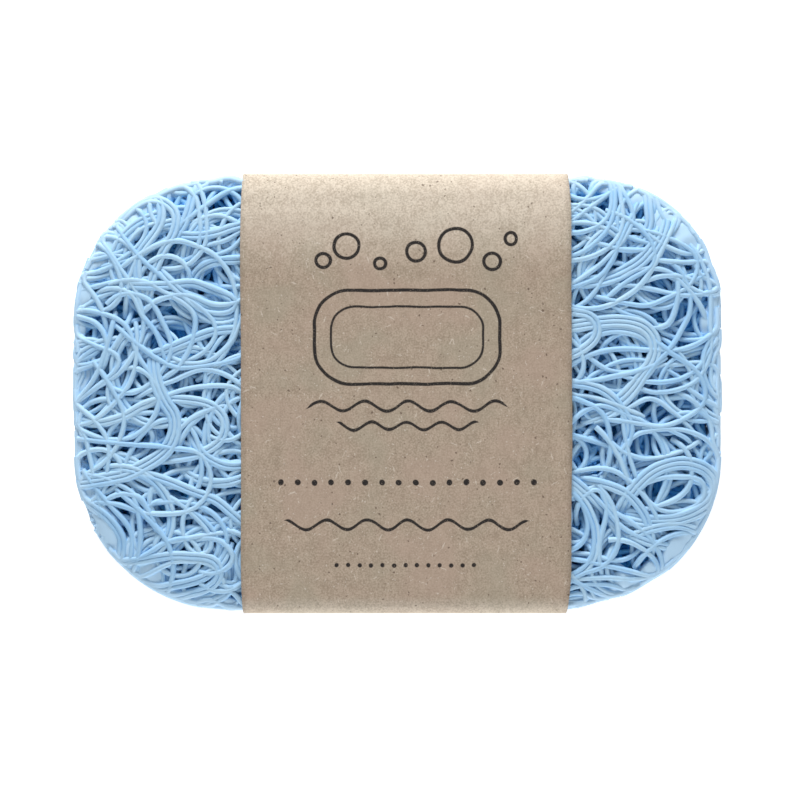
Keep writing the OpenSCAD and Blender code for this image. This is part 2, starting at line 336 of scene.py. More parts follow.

# Strands that lie on top where the mat shows, left and right of the band, in millimetres and in the order
# that they lie in. Each starts with how many strands run side by side. Their routes are given point by point.
TOP_STRANDS = (
    (2, (-41.4, 8.7), (-39.2, 9.6), (-37, 10.5), (-34.9, 11.3), (-32.3, 11.8), (-29.2, 12)),
    (1, (-58.9, 4.6), (-56.8, 5.2), (-54.8, 6.1), (-52.6, 8.2), (-51, 10.6)),
    (1, (-57.7, 22.2), (-55.7, 22.4), (-53.8, 23.1), (-52.2, 23.9), (-50, 24.6)),
    (1, (-57.5, 19.4), (-55, 20), (-52, 20.7), (-49, 21), (-47, 20.8)),
    (1, (-58, 15.9), (-55.5, 17.6), (-53, 18.6), (-50.6, 19.1), (-48.5, 19)),
    (2, (-38.6, 33.4), (-39.5, 31), (-40.8, 29), (-43.4, 27.9), (-45.6, 27.2), (-47.2, 26)),
    (1, (-44, 22.6), (-41.8, 23.7), (-39.6, 24.5), (-37.4, 25.6), (-35, 27.4), (-32, 28.2),
        (-29.4, 29.6)),
    (1, (-44.4, 21.6), (-41.6, 22.2), (-39, 23.2), (-36.4, 24.6), (-33.6, 25.6), (-30.8, 26.6),
        (-29.2, 28)),
    (2, (-37.5, 21.8), (-36.4, 23.2), (-34.8, 24.1), (-32.4, 24.6), (-29.2, 24.8)),
    (1, (-34.9, 32.8), (-33, 33), (-31, 32.4), (-29.2, 31.4)),
    (2, (-34.8, 29.4), (-32.6, 29.9), (-30.8, 30.6), (-29.2, 31)),
    (1, (-35.2, 34.9), (-33.4, 36.2), (-31.6, 37.4), (-29.6, 38)),
    (1, (-48.3, 34.4), (-46.9, 33), (-46.2, 30.8), (-46.6, 29.1), (-47.9, 27.2), (-49.8, 25.6)),
    (2, (-43.6, 34.4), (-43.5, 32.2), (-44.2, 30.5), (-45.7, 28.3), (-47.3, 26.2), (-47.9, 24.2),
        (-47.9, 21.6)),
    (1, (-38.6, 37.8), (-37.2, 36.2), (-36.5, 33), (-36.2, 30.6), (-36.4, 28.6)),
    (2, (-47.8, 35.8), (-45, 36), (-42.5, 35.1), (-40.9, 33.3), (-40.8, 31.3), (-41.8, 28.5),
        (-42.9, 26.8), (-43.9, 24.7), (-44.8, 22.4), (-45.3, 20.6)),
    (1, (-54.2, 29.3), (-51.5, 28.6), (-49.6, 27.4), (-48.4, 25.9), (-48.3, 24.2), (-49.1, 22.2),
        (-49.4, 20.8)),
    (1, (-36.9, 39), (-35.8, 36.2), (-35.3, 33.5), (-35.1, 30.6), (-35.4, 27.6), (-36.6, 25.6),
        (-38.4, 24), (-40.6, 23.2)),
    (1, (-48.6, 25), (-46.6, 26.3), (-44.4, 27.4), (-41.8, 28.2), (-39.4, 28.2), (-37.2, 27.4),
        (-34.9, 26.4), (-33.3, 25.3), (-31.9, 23.7), (-30.6, 21.5), (-29.9, 19.2), (-29.6, 17)),
    (1, (-45.2, 24.6), (-43.6, 25.4), (-41.6, 25.4), (-40, 24.7), (-38.8, 23.4), (-38.2, 21.8),
        (-38.6, 19.8)),
    (1, (-47.4, 25.2), (-46.2, 24), (-45, 23), (-43.4, 21.6), (-41.6, 20.2), (-39.4, 19)),
    (1, (-55.2, 27.8), (-53.5, 26.3), (-52.2, 24.4), (-51.3, 22.4), (-50.8, 20.3), (-50.8, 18.9),
        (-51.6, 17.2), (-53, 15.9), (-55, 15)),
    (1, (-54.4, 28), (-52.6, 25.6), (-51.2, 23.4), (-49.6, 21.1), (-48.3, 19.2), (-47.4, 16.8),
        (-46.8, 14.4), (-46.8, 11.6), (-47.5, 9.2), (-48.8, 7), (-50.2, 5), (-52.2, 3.2), (-54.8, 1.7),
        (-57.2, 0.3), (-59, -0.9)),
    (1, (-58, 20.8), (-56.2, 18.6), (-55, 16.7), (-54.3, 15)),
    (1, (-50.4, 19.2), (-48.9, 18.4), (-47.9, 16.6), (-47.1, 14.6), (-45.7, 13), (-44.6, 11.6),
        (-43.8, 9.8), (-43.2, 8)),
    (2, (-43.4, 20), (-40.6, 20.2), (-37.9, 20.5), (-35.3, 19.7), (-32.7, 18.7), (-31, 17.9),
        (-29.9, 16.9), (-30.5, 15.9), (-32.6, 15.3), (-35, 15.6), (-37.2, 16.6), (-38.8, 17.9),
        (-40.4, 19.3)),
    (1, (-42.6, 17.9), (-40, 18.4), (-37.4, 17.9), (-34.9, 16.8), (-32.3, 16.4), (-30.4, 16.7)),
    (1, (-36.8, 16.4), (-35, 14.9), (-33.8, 13.3), (-33.4, 11.5), (-34, 9.6), (-35.5, 7.9),
        (-37.5, 6.6), (-39.6, 6)),
    (1, (-28.8, 13.4), (-29.5, 11.8), (-30.2, 10.2), (-31.6, 8.5), (-33.3, 7), (-35.3, 5.9),
        (-37.9, 5.6)),
    (1, (-48, 21), (-46.1, 20.6), (-44, 19.5), (-41.8, 18.2), (-39.6, 17), (-38, 15.7), (-37.2, 14),
        (-37.3, 11.8), (-37.9, 9.4), (-38.9, 7.1), (-40.2, 5.1), (-42, 3.6), (-44, 2.3), (-46.4, 1),
        (-49, 0.4)),
    (1, (-47.6, 18.3), (-45.9, 17.5), (-44.6, 16), (-43.6, 14), (-42.4, 11.6), (-41.6, 9), (-41.9, 7),
        (-43, 4.9), (-44.6, 2.9), (-46.6, 1.2), (-48.9, 0.2), (-51.4, 0.6)),
    (1, (-59.4, 15.6), (-56.6, 15.4), (-54.4, 14.9), (-51.7, 13.9), (-49.9, 12.5), (-48.9, 10.6),
        (-48.4, 8.6), (-47.5, 6.6), (-46.2, 4.8), (-44.8, 2.9)),
    (1, (-59.2, 14.4), (-57.6, 14), (-55.8, 13.3), (-54.5, 12), (-53.7, 10.3), (-53.4, 8.6)),
    (1, (-47.2, 8.7), (-45.3, 7.3), (-43.1, 5.9), (-41, 5), (-38.6, 4.9), (-35.8, 5.2), (-33.1, 5.6),
        (-30.5, 6.2), (-28.8, 6.8)),
    (2, (-52.8, -4.9), (-50.6, -4.2), (-48.8, -3.2), (-46.8, -2), (-44.7, -1.3), (-42.2, -0.9),
        (-39.6, -0.9), (-37, -1.2), (-34.5, -1.9), (-32.6, -3.3), (-31.7, -5.3), (-32.1, -7.7),
        (-33.8, -9.6), (-36, -10.8), (-39.2, -11.6), (-42.2, -12)),
    (1, (-45, 1), (-43, 1.9), (-41, 2.6), (-39, 3.6), (-37, 4.4), (-34.9, 4.6), (-32.3, 3.9),
        (-30.1, 2.7), (-28.6, 1.5)),
    (1, (-43.2, -0.6), (-40.5, 0.5), (-38.1, 1.1), (-35.3, 1.5), (-32.3, 1.6), (-30, 1.3),
        (-28.6, 0.4)),
    (1, (-36, -3.4), (-37.8, -4.4), (-39.6, -5.9), (-41.2, -7.6)),
    (1, (-59.7, 11), (-57, 9.6), (-54.4, 8.5), (-52.6, 7.9), (-51.5, 7), (-51.2, 5.8), (-52.1, 4.2),
        (-54.3, 2.2), (-57, 0.2), (-59, -1.3)),
    (1, (-53.8, 8), (-54.6, 5.7), (-55.7, 3.2), (-57.2, 1), (-58.8, -0.8)),
    (1, (-48, 7.4), (-48.4, 4.6), (-49.4, 1.8), (-51, -0.4), (-53.3, -2.8), (-55.3, -4.5),
        (-57.2, -5.4), (-59.6, -5.8)),
    (1, (-45.2, 2.9), (-44.1, 1.2), (-43.8, -0.8), (-44.3, -3), (-45.7, -5.4), (-47.5, -7.1),
        (-49.4, -8.1), (-51.6, -8.4), (-53.8, -8.3), (-56, -7.7)),
    (1, (-52.4, 0.8), (-51.3, -1.2), (-50.5, -3), (-50.3, -5), (-50.7, -7.2), (-51.6, -9.3),
        (-53, -11.5), (-54.8, -13.2), (-56.8, -14.4), (-59, -15.9)),
    (1, (-59.6, -1.6), (-57.7, -3.2), (-56, -4.6), (-54.6, -6.3), (-53.5, -8.3), (-53.1, -10.4),
        (-53.3, -12.6), (-53.5, -15), (-54, -17.3), (-54.7, -19.8), (-55, -21.4)),
    (1, (-58.6, -6), (-57.4, -8), (-57, -10.4), (-56.4, -12.8), (-56, -15.4), (-55.4, -17.8),
        (-55, -19.6)),
    (3, (-43.6, 0.2), (-42.5, -1.9), (-41.4, -3.4), (-40.9, -5.6), (-41.4, -8.2), (-42.9, -10.6),
        (-45.1, -12.3), (-47.5, -13.6), (-50, -14.8), (-52.6, -15.4), (-55.4, -15.9)),
    (2, (-33.9, -12.3), (-32, -13.1), (-29.2, -13.3)),
    (2, (-33.8, -16.3), (-31.6, -16.3), (-28.8, -15.6)),
    (1, (-33.2, -18.8), (-31.2, -18), (-28.8, -17.8)),
    (1, (-36.2, -11.4), (-36, -14), (-36.4, -16.4), (-37.6, -18.6)),
    (2, (-47.2, -14.5), (-45.3, -15.6), (-43.8, -17.1), (-42.5, -19), (-41.8, -21.3), (-41.6, -23.4),
        (-42, -25.6), (-43, -27.6)),
    (2, (-44.6, -15.2), (-41.4, -16.3), (-38.3, -17.6), (-35.7, -18.6), (-33.3, -19.6), (-31, -21.5),
        (-28.6, -23.6)),
    (1, (-52, -16.2), (-50, -17.3), (-48.4, -18.6), (-47, -20)),
    (1, (-49.2, -18.4), (-47.2, -19.1), (-46.3, -20.6), (-45.4, -22.2)),
    (1, (-41.6, -19.8), (-39.2, -19.9), (-36.6, -20.5), (-34.3, -21.7), (-32.3, -23.8), (-31.4, -26.4),
        (-31.6, -28.6), (-32.6, -30.8)),
    (1, (-37.4, -21.8), (-35.1, -23.6), (-33.4, -25.8), (-32.9, -28.2), (-33.6, -30.1)),
    (1, (-38, -21.8), (-36, -23.8), (-34.6, -25.9), (-34.2, -27.8), (-35.1, -29.2), (-36.8, -29.5),
        (-38.2, -28.7), (-39.2, -26.9), (-39.6, -24.4)),
    (1, (-40.6, -26.9), (-38.6, -26.5), (-36.4, -26.1), (-34.4, -25.8)),
    (1, (-51.4, -9), (-47.9, -9.3), (-44.6, -9.5), (-41.4, -9.9), (-38.8, -10.2), (-36.9, -10.6),
        (-35.6, -11.7), (-34.8, -13.3), (-34.3, -15.1), (-34.5, -17), (-35.5, -19.1), (-37, -20.7),
        (-39.2, -21.7), (-42, -22), (-44.6, -22), (-47.2, -21.8), (-49.6, -20.8), (-52, -20.2)),
    (2, (-58.6, -19.2), (-55.7, -21), (-53.4, -22.8), (-51.8, -24.7), (-50.8, -26.7), (-50.9, -29)),
    (1, (-54, -19.2), (-52, -21.5), (-50.1, -23.6), (-49, -25.8), (-49, -28.2), (-49.4, -30.8),
        (-50.6, -33)),
    (1, (-47.5, -23.2), (-47.3, -25.8), (-47.6, -28.6), (-48.2, -31.2), (-49.4, -33.4)),
    (1, (-47.2, -30), (-45.4, -29), (-43.8, -27.8), (-41.6, -26.9)),
    (1, (-47, -21.8), (-45.3, -23.5), (-43.6, -25.4), (-42.3, -27.3), (-41.6, -29.6), (-41.3, -31.8),
        (-41.6, -34.3), (-42.4, -36.6)),
    (2, (-33.8, -32.4), (-35.4, -33.6), (-38.2, -34.6), (-41.2, -35.2), (-44, -35.8)),
    (1, (-49.4, -34.8), (-45.9, -33.1), (-43, -31.6), (-40.6, -30.7), (-38.1, -30.7), (-35.2, -31),
        (-33.8, -31.9)),
    (2, (-51.6, -31), (-47.9, -30.7), (-44.6, -30.1), (-41.4, -29.7), (-38.1, -29.8), (-35, -30.1),
        (-33.2, -31), (-32.7, -32.8), (-33.4, -34.6), (-35.3, -35.9), (-38.1, -36.8), (-41.2, -37.5)),
    (1, (-31, -28.4), (-30.2, -29.8), (-30.7, -31.3), (-32.4, -32.5)),
    (1, (-28.8, -35), (-31, -36.2), (-33.2, -36.3)),
    (1, (-38, -39), (-35, -37.8), (-32.9, -38.4), (-31, -39.6)),
    (1, (36.8, 38.2), (34.9, 36), (32.6, 34), (30.4, 32.6)),
    (1, (39, 37), (36.4, 35.1), (34.3, 33.5), (32.6, 32.2), (30.6, 31.2)),
    (1, (37.4, 30.9), (36, 31.4), (34.2, 31.6), (32.4, 31.6), (30.2, 31)),
    (2, (46.2, 36.4), (46.4, 33.6), (46.5, 31.8), (46, 30)),
    (1, (39.6, 27), (41.7, 26.6), (44.6, 26.5), (46.6, 26.6)),
    (1, (42.2, 29.2), (44.6, 28.2), (47.2, 27.8), (48.8, 28.3), (50.3, 29.3), (51.5, 30.8),
        (52.3, 32.6), (52.6, 34)),
    (3, (46.4, 26.2), (44.8, 24.5), (42.6, 23), (40.3, 21.8), (38, 21.1)),
    (1, (39.4, 39), (39.5, 35.3), (39, 33.1), (37.8, 31.6), (36, 30.5), (34.2, 29.9), (32.5, 29.7),
        (30, 30)),
    (1, (40.1, 39), (40.1, 34.6), (39.5, 32.1), (38.3, 29.8), (36.5, 28), (34.6, 26.5), (32.6, 25.6),
        (30, 25)),
    (1, (40.9, 39), (41.4, 34.8), (41.6, 32.2), (41.2, 30.2), (40.2, 28.3), (38.4, 26.7), (36.4, 25.6),
        (34.5, 25), (32.5, 24.7), (30, 24.8)),
    (1, (41.2, 38.3), (42.6, 35.6), (43.5, 33.3), (43.3, 31.5), (42.3, 29.4), (40.9, 27.4), (39, 25.5),
        (37.1, 23.7), (34.9, 22.1), (32.6, 20.6), (30.4, 19.6)),
    (1, (41.8, 30), (40.6, 27.3), (39.8, 25.4), (38.6, 23.2), (37.4, 20.7), (36.1, 18.6), (34.5, 16.9),
        (32.6, 15.8)),
    (1, (39.4, 24.4), (38, 22.4), (36, 21), (34, 20.3), (31.6, 19.6)),
    (1, (50.4, 24.4), (52.4, 24.3), (54.6, 24.4), (57, 24.5), (59.2, 24.2)),
    (1, (49.6, 27.2), (51.4, 26.4), (53, 25.9), (54.6, 25.9)),
    (1, (46.2, 23.2), (48, 23.1), (49.9, 22.5), (51.5, 21.3), (52.9, 19.9), (54.6, 18.2), (56, 16)),
    (1, (44.8, 20.4), (46.6, 21.2), (48.6, 21.8), (50.6, 21.9)),
    (1, (56.4, 23.6), (57.4, 20.8), (57.7, 18.3), (57.8, 15.9), (57.7, 13.2), (57.9, 10.1),
        (57.6, 7.1), (56.6, 4.6), (55.3, 2.8), (53.8, 1.7), (51.7, 0.9), (48.7, 0.4), (46.6, 0.4),
        (45, 1)),
    (1, (45, 19.7), (47.6, 19.2), (49.9, 18.6), (52.7, 18.2), (55.8, 18.4), (58.2, 19), (60.2, 19.6)),
    (1, (43.4, 31.6), (45.1, 30.2), (46.4, 28.6), (47.2, 27), (47.4, 25.2), (46.9, 23.6), (45.4, 22.6),
        (43.3, 21.5), (41.4, 20.2)),
    (1, (49.9, 29), (49.2, 27.6), (48.2, 25.6), (47.2, 23.7), (46, 21.8), (44.6, 20), (42.5, 18.3),
        (40.1, 16.9), (38, 16.1), (35.5, 15.7), (32.6, 16), (30, 16.8)),
    (1, (50, 28.8), (52.7, 27.5), (54.5, 26.1), (55.4, 24.4), (55.1, 22.3), (54.2, 20.6), (52.8, 19.3),
        (50.7, 18.3), (48.6, 17.3), (46.8, 16.5), (45, 16.3), (42.9, 16.6), (40.8, 17)),
    (1, (45, 14.8), (47, 13.6), (48.6, 11.6), (50.6, 10.6), (53, 10), (55.4, 10)),
    (1, (51.4, 16.8), (50.8, 14.6), (49.8, 12.8), (48, 12.2)),
    (2, (36.2, 11), (37.6, 11.6), (39.6, 11.9), (42.4, 11.7), (44.8, 11), (46.4, 9.6)),
    (1, (60, 13), (58, 11.2), (55.7, 9.6), (53.2, 8.5), (50.6, 8), (48, 8.1), (45.4, 8.2), (42.5, 8.4),
        (40, 8.3), (37.8, 8), (35.8, 7.4), (33.6, 6.4)),
    (3, (30, 12.4), (32.6, 12.6), (34.9, 13), (37.4, 13.3), (40.5, 13.5), (43.3, 13.2), (45.6, 12.3),
        (47, 10.6), (47.5, 8.5), (47.1, 6.5), (46, 4.6), (44.6, 2.8), (42.9, 0.6), (41.1, -1.2),
        (39, -2.6)),
    (2, (30.4, 15.6), (32.8, 15.1), (34.9, 14.8), (36.4, 13.6), (36.9, 12), (36.4, 10.3), (34.9, 8.8),
        (32.8, 7.5), (30.4, 6.8)),
    (1, (34, 7.2), (34.3, 5.4), (33.9, 3.7), (32.8, 2.1), (31.4, 0.8)),
    (1, (34, 2.3), (37, 2.6), (40, 3.4), (42.5, 3.8), (45.2, 4.6)),
    (1, (45.6, 2.4), (48, 2.2), (50.7, 2.5), (53, 3.2), (54.8, 4.4)),
    (1, (53.8, 18.6), (54, 16.7), (53.7, 14.6), (52.5, 12.3), (51.3, 10.1), (49.7, 7.9), (47.8, 6),
        (46.4, 4.2), (45.4, 2.8), (44.4, 1.1), (42.9, -0.8), (41.2, -2.5)),
    (1, (41.4, -3.1), (43.3, -2.1), (45, -1.1), (46.6, -0.7), (48.2, -1.2), (49.9, -2.6), (52.1, -4.4),
        (54, -6.4)),
    (1, (30, 1.4), (32.7, -0.2), (35, -0.4), (37.6, -1), (40, -1.8)),
    (2, (30.4, 2.2), (32.6, 2), (34.9, 1.7), (37.4, 0.9), (39.2, -0.3), (40.5, -1.6), (41.9, -3.6),
        (42.8, -5.6), (42.7, -7.7), (41.9, -9.6), (41.3, -11.6), (41.5, -13.6)),
    (1, (32.8, -7.8), (33.9, -8.6), (34.7, -10), (34.9, -11.8), (34.2, -13.4)),
    (1, (34.6, -8.2), (37, -8.9), (39, -9.6), (40.4, -11)),
    (1, (32.7, -4.4), (34.3, -3.1), (36.6, -2.2), (38.8, -2.2), (40.6, -3.1), (42.5, -4), (44.6, -4.7),
        (46.2, -5.8), (47.6, -7.5), (48.7, -9.5), (49.3, -11.8), (49.5, -14.2), (49.3, -16.2),
        (48.6, -18.2), (47.7, -20.4), (47.4, -22.8), (47, -25.2), (45.5, -27.9), (43.7, -29.5),
        (41.7, -30.5), (39.6, -30.6)),
    (1, (30.2, -0.2), (32.7, -0.7), (34.9, -1.7), (37, -2.7), (38.3, -4.5), (39, -6.9), (39.2, -9.3),
        (39, -12), (38.3, -14.6), (37.1, -16.3), (35.1, -17.6), (33, -18.4)),
    (1, (50.6, 7.5), (51.9, 6.6), (53.8, 5.4), (55.4, 3.9), (56.4, 2.1), (56.8, 0.2), (56.3, -1.8),
        (54.8, -3.3), (52.7, -4.5), (50.6, -5.5), (48.2, -6), (45.8, -5.6), (43.4, -5.2)),
    (1, (55.6, -2.2), (57.2, -4.2), (58, -6.5), (58.2, -9), (59.4, -11.4)),
    (1, (50.8, -6.8), (53.3, -8.2), (54.8, -10), (55.8, -11.8)),
    (1, (43.2, -8), (44.6, -7.1), (46, -6.8), (48.7, -6.4), (51.9, -6.5), (54.8, -7.2), (57, -8.4),
        (58.4, -10), (59.2, -12), (59.6, -14.4)),
    (1, (42.9, -11.2), (45.4, -11.9), (47.6, -11.8), (50, -11.3)),
    (1, (39.9, -10), (41, -12), (41.8, -14.2), (42.6, -16.4), (43.5, -18.8)),
    (1, (42.3, -9.8), (42.8, -11.8), (43.5, -14), (44.3, -16.2)),
    (1, (54.2, -13.8), (54, -16.2), (52.7, -18.3), (50.7, -19.6), (48.2, -20.5), (46.2, -21)),
    (1, (45.2, -16.5), (47.6, -15.6), (49.9, -15.2), (52.3, -15.2), (54.8, -15.4), (56.2, -16.1),
        (56.7, -17.8), (55.9, -19.7), (54.2, -21), (51.7, -21.7), (49.7, -21.7), (47.8, -21)),
    (3, (44.3, -16.6), (46.2, -14.8), (48.2, -13.6), (50.3, -12.9), (52.3, -12.6), (54.8, -13),
        (57, -14), (58.4, -15.6), (58.8, -17.6), (58, -19.6), (56.2, -21.2), (53.8, -22.4),
        (50.7, -23.2), (48, -23.4)),
    (2, (38.2, -16.6), (40.5, -17.4), (42.5, -18.5), (44.2, -20.3), (45.6, -22.4), (46.4, -24.8)),
    (1, (34, -14), (37, -13.6), (39.7, -14), (41.8, -15.2), (44.1, -17.3), (46, -19.5), (47.3, -21.8)),
    (2, (30.6, -14.6), (32.6, -16), (34.3, -17.4), (36.2, -19.3), (38, -21.1), (39.7, -23.4),
        (41.4, -25), (43.5, -26.2), (45.4, -27)),
    (1, (35, -18.2), (36.6, -17.4), (37.8, -18.2), (38.4, -19.9), (38.4, -22.4), (37.8, -24.8),
        (37.2, -27.3), (37.1, -30)),
    (1, (38.4, -20), (39.6, -21.5), (41.7, -22.7), (43.7, -24), (45.8, -25.7), (47.5, -27.9),
        (48.6, -30.1), (48.9, -32.6), (48.6, -34)),
    (1, (32.4, -17.8), (33.9, -19.9), (34.8, -22.6), (35, -25), (34.2, -27), (32.6, -28.4),
        (30.4, -29)),
    (2, (35.4, -21.8), (36.4, -24.4), (36.6, -27.5), (36.1, -30), (34.7, -32), (32.8, -33.4),
        (30.8, -34)),
    (1, (40.4, -23.4), (40.7, -25.8), (40.2, -28.8), (38.8, -30.8), (37, -32.1), (34.8, -32.7),
        (32.4, -34), (30.6, -35.6)),
    (1, (47.4, -27.8), (49.5, -26.4), (51.7, -25.6), (54.2, -25.7), (56, -27)),
    (2, (47.6, -24.6), (49.8, -24.2), (52.4, -24.2), (54.8, -25), (57.2, -26.2)),
    (1, (45.4, -28.6), (46.8, -29.8), (48, -31.4), (48.4, -33.6)),
    (1, (37.8, -31.4), (40.5, -32), (42.9, -32.6), (45.6, -33.4), (48.4, -34)),
    (1, (37, -33.8), (40, -33.8), (42.9, -34.1), (45.9, -33.8)),
    (1, (36.4, -35), (39.4, -35.2), (41.8, -36), (44, -36.8)),
    (1, (34.6, -35.4), (37.4, -36.7), (39.8, -37.6)),
    (1, (32.4, -33.6), (33.9, -35.3), (34.7, -37.4), (34.6, -39.4)),
)


# Routes

def drift(rng, t, slowest):
    """A smooth random number, mostly within 1 of zero, that changes slowly over a stretch of t."""
    total = np.zeros_like(t)
    for pace, weight in ((1.0, 0.6), (1.9, 0.35), (3.3, 0.2)):
        total += weight * np.sin(2 * np.pi * (t * pace / slowest + rng.random()))
    return total


def even_steps(path, step):
    """The same path in plan, with its points one step apart along it."""
    along = np.concatenate([[0], np.cumsum(np.hypot(*np.diff(path, axis=0).T))])
    marks = np.arange(0, along[-1], step)
    return np.column_stack([np.interp(marks, along, path[:, i]) for i in (0, 1)])


def smooth_route(points, step):
    """A smooth curve through a few points, with its own points one step apart."""
    points = np.array(points, float)
    along = np.concatenate([[0], np.cumsum(np.hypot(*np.diff(points, axis=0).T))])
    slope = np.gradient(points, along, axis=0)
    marks = np.arange(0, along[-1] + step / 2, step / 4)
    before = np.clip(np.searchsorted(along, marks, side="right") - 1, 0, len(points) - 2)
    gap = (along[before + 1] - along[before])[:, None]
    u = np.clip((marks - along[before])[:, None] / gap, 0, 1)
    curve = (2 * u ** 3 - 3 * u ** 2 + 1) * points[before] + (3 * u ** 2 - 2 * u ** 3) * points[before + 1]
    curve += gap * ((u ** 3 - 2 * u ** 2 + u) * slope[before] + (u ** 3 - u ** 2) * slope[before + 1])
    return even_steps(curve, step)


def walk(bends, heading, start):
    """The path of a strand that bends by so much at each step."""
    turn = heading + np.cumsum(bends) * SAMPLE_STEP
    return np.array(start) + np.cumsum(np.column_stack([np.cos(turn), np.sin(turn)]), axis=0) * SAMPLE_STEP


def row_path(rng, row_y, run_way, turn_way):
    """One strand's wandering loops along a row, as the nozzle lays them."""
    run = MAT_LENGTH + 2 * BED_MARGIN
    one_loop = 2 * np.pi * LOOP_RADIUS
    s = np.arange(0, run / LOOP_PITCH * one_loop, SAMPLE_STEP)
    bends = turn_way * (1 + LOOP_VARY * drift(rng, s, LOOP_STRETCH)) / LOOP_RADIUS
    path = walk(bends, 2 * np.pi * rng.random(), (0, 0))
    reach = int(one_loop / SAMPLE_STEP / 2)
    loops = path - rolling_mean(rolling_mean(path, reach), reach)
    centre_x = run_way * (s / s[-1] - 0.5) * run + COURSE_STRAY[0] * drift(rng, s, COURSE_STRETCH[0])
    centre_y = row_y + COURSE_STRAY[1] * drift(rng, s, COURSE_STRETCH[1])
    return even_steps(loops + np.column_stack([centre_x, centre_y]), SAMPLE_STEP)


def rolling_mean(path, reach):
    """The path with each point averaged over the stretch about it."""
    padded = np.pad(path, ((reach, reach), (0, 0)), "edge")
    windows = np.lib.stride_tricks.sliding_window_view(padded, 2 * reach + 1, axis=0)
    return windows.mean(axis=-1)


def beside(path, apart):
    """The path of a strand that runs beside another at a distance that may change along the way."""
    ahead = np.gradient(path, axis=0)
    sideways = np.column_stack([-ahead[:, 1], ahead[:, 0]]) / np.maximum(np.hypot(*ahead.T), 1e-6)[:, None]
    return even_steps(path + sideways * np.reshape(apart, (-1, 1)), SAMPLE_STEP)


def bundle(rng, path, count):
    """Strands that lie side by side, and stray from each other now and then."""
    s = np.arange(len(path)) * SAMPLE_STEP
    paths = [path]
    for n in range(1, count):
        stray = BUNDLE_STRAY * np.maximum(0, drift(rng, s, BUNDLE_STRETCH) - BUNDLE_HOLD)
        paths.append(beside(path, n * STRAND_D * (FUSED_APART + stray)))
    return paths


def arc_path(rng, middle):
    """A short curved strand through a place."""
    s = np.arange(0, rng.uniform(*ARC_LENGTHS), SAMPLE_STEP)
    bends = rng.choice([-1, 1]) * rng.uniform(*ARC_BENDS) * (1 + ARC_VARY * drift(rng, s, ARC_STRETCH))
    path = walk(bends, 2 * np.pi * rng.random(), (0, 0))
    return path - path[len(path) // 2] + middle


def carried_on(rng, path):
    """A given route with its ends carried on, past the cut edge or well under the band."""
    ends = []
    for outward in (path[::-1], path):
        tail = outward[-TAIL_POINTS:]
        ahead = tail[-1] - tail[-1 - TAIL_STEPS]
        before = tail[TAIL_STEPS] - tail[0]
        heading = math.atan2(ahead[1], ahead[0])
        turn = (heading - math.atan2(before[1], before[0]) + np.pi) % (2 * np.pi) - np.pi
        bend = np.clip(turn / ((TAIL_POINTS - 1 - TAIL_STEPS) * SAMPLE_STEP), -MOST_BEND, MOST_BEND)
        at_band = abs(tail[-1][0] - BAND_MIDDLE) < BAND_HALF + 1
        length = rng.uniform(*(ON_UNDER_BAND if at_band else ON_PAST_EDGE))
        ends.append(walk(np.full(int(length / SAMPLE_STEP), bend), heading, tail[-1]))
    return np.concatenate([ends[0][::-1], path, ends[1]])


# Laying the strands

class Bed:
    """The top of what has been laid so far, on a grid over the mat."""

    def __init__(self, floor):
        self.half = np.array([MAT_LENGTH / 2 + BED_MARGIN, MAT_WIDTH / 2 + BED_MARGIN])
        self.shape = (2 * self.half / BED_CELL).astype(int) + 1
        self.top = np.full(self.shape[0] * self.shape[1], floor)
        radius = STRAND_D / 2
        reach = int(radius / BED_CELL) + 1
        offsets = [(i, j) for i in range(-reach, reach + 1) for j in range(-reach, reach + 1)]
        away = np.array([math.hypot(i, j) * BED_CELL for i, j in offsets])
        near = away < radius
        self.offsets = np.array(offsets)[near]
        self.arch = np.sqrt(radius ** 2 - away[near] ** 2)

    def cells(self, points):
        """The cells under a strand at each point."""
        place = np.rint((points + self.half) / BED_CELL).astype(int)
        i = np.clip(place[..., 0, None] + self.offsets[:, 0], 0, self.shape[0] - 1)
        j = np.clip(place[..., 1, None] + self.offsets[:, 1], 0, self.shape[1] - 1)
        return i * self.shape[1] + j

    def support(self, points):
        """Height at which a strand's centre comes to rest over each point."""
        return (self.top[self.cells(points)] + self.arch).max(axis=-1) - WELD_DEPTH

    def lay(self, points, heights):
        """Adds a strand to what has been laid."""
        np.maximum.at(self.top, self.cells(points), heights[..., None] + self.arch)


def drape(supports):
    """Heights of the middle chunk of three, where a strand bends over what holds it up."""
    sag = (np.arange(-CHUNK, CHUNK + 1) * SAMPLE_STEP) ** 2 / (2 * DRAPE_RADIUS)
    windows = np.lib.stride_tricks.sliding_window_view(supports, 2 * CHUNK + 1, axis=1)
    return (windows[:, :CHUNK] - sag).max(axis=-1)


def dipped(heights):
    """Heights of a strand whose two ends are tucked under its neighbours."""
    from_end = np.minimum(np.arange(len(heights)), np.arange(len(heights))[::-1]) * SAMPLE_STEP
    return heights - END_DIP * np.clip(1 - from_end / END_REACH, 0, 1) ** 2


def lay_together(bed, paths):
    """Lays several strands at the same pace, and returns each with its heights."""
    count = max(len(p) for p in paths) // CHUNK + 3
    plan = np.empty((len(paths), count * CHUNK, 2))
    for row, path in enumerate(paths):
        plan[row, : len(path)] = path
        plan[row, len(path) :] = path[-1]
    heights = np.zeros(plan.shape[:2])
    chunks = plan.reshape(len(paths), count, CHUNK, 2)
    before = this = bed.support(chunks[:, 0])
    for k in range(count - 1):
        after = bed.support(chunks[:, k + 1])
        laid = drape(np.concatenate([before, this, after], axis=1))
        heights[:, k * CHUNK : (k + 1) * CHUNK] = laid
        alive = np.array([len(p) > k * CHUNK for p in paths])
        bed.lay(chunks[alive, k], laid[alive])
        before, this = this, after
    return [np.column_stack([p, dipped(heights[row, : len(p)])]) for row, p in enumerate(paths)]


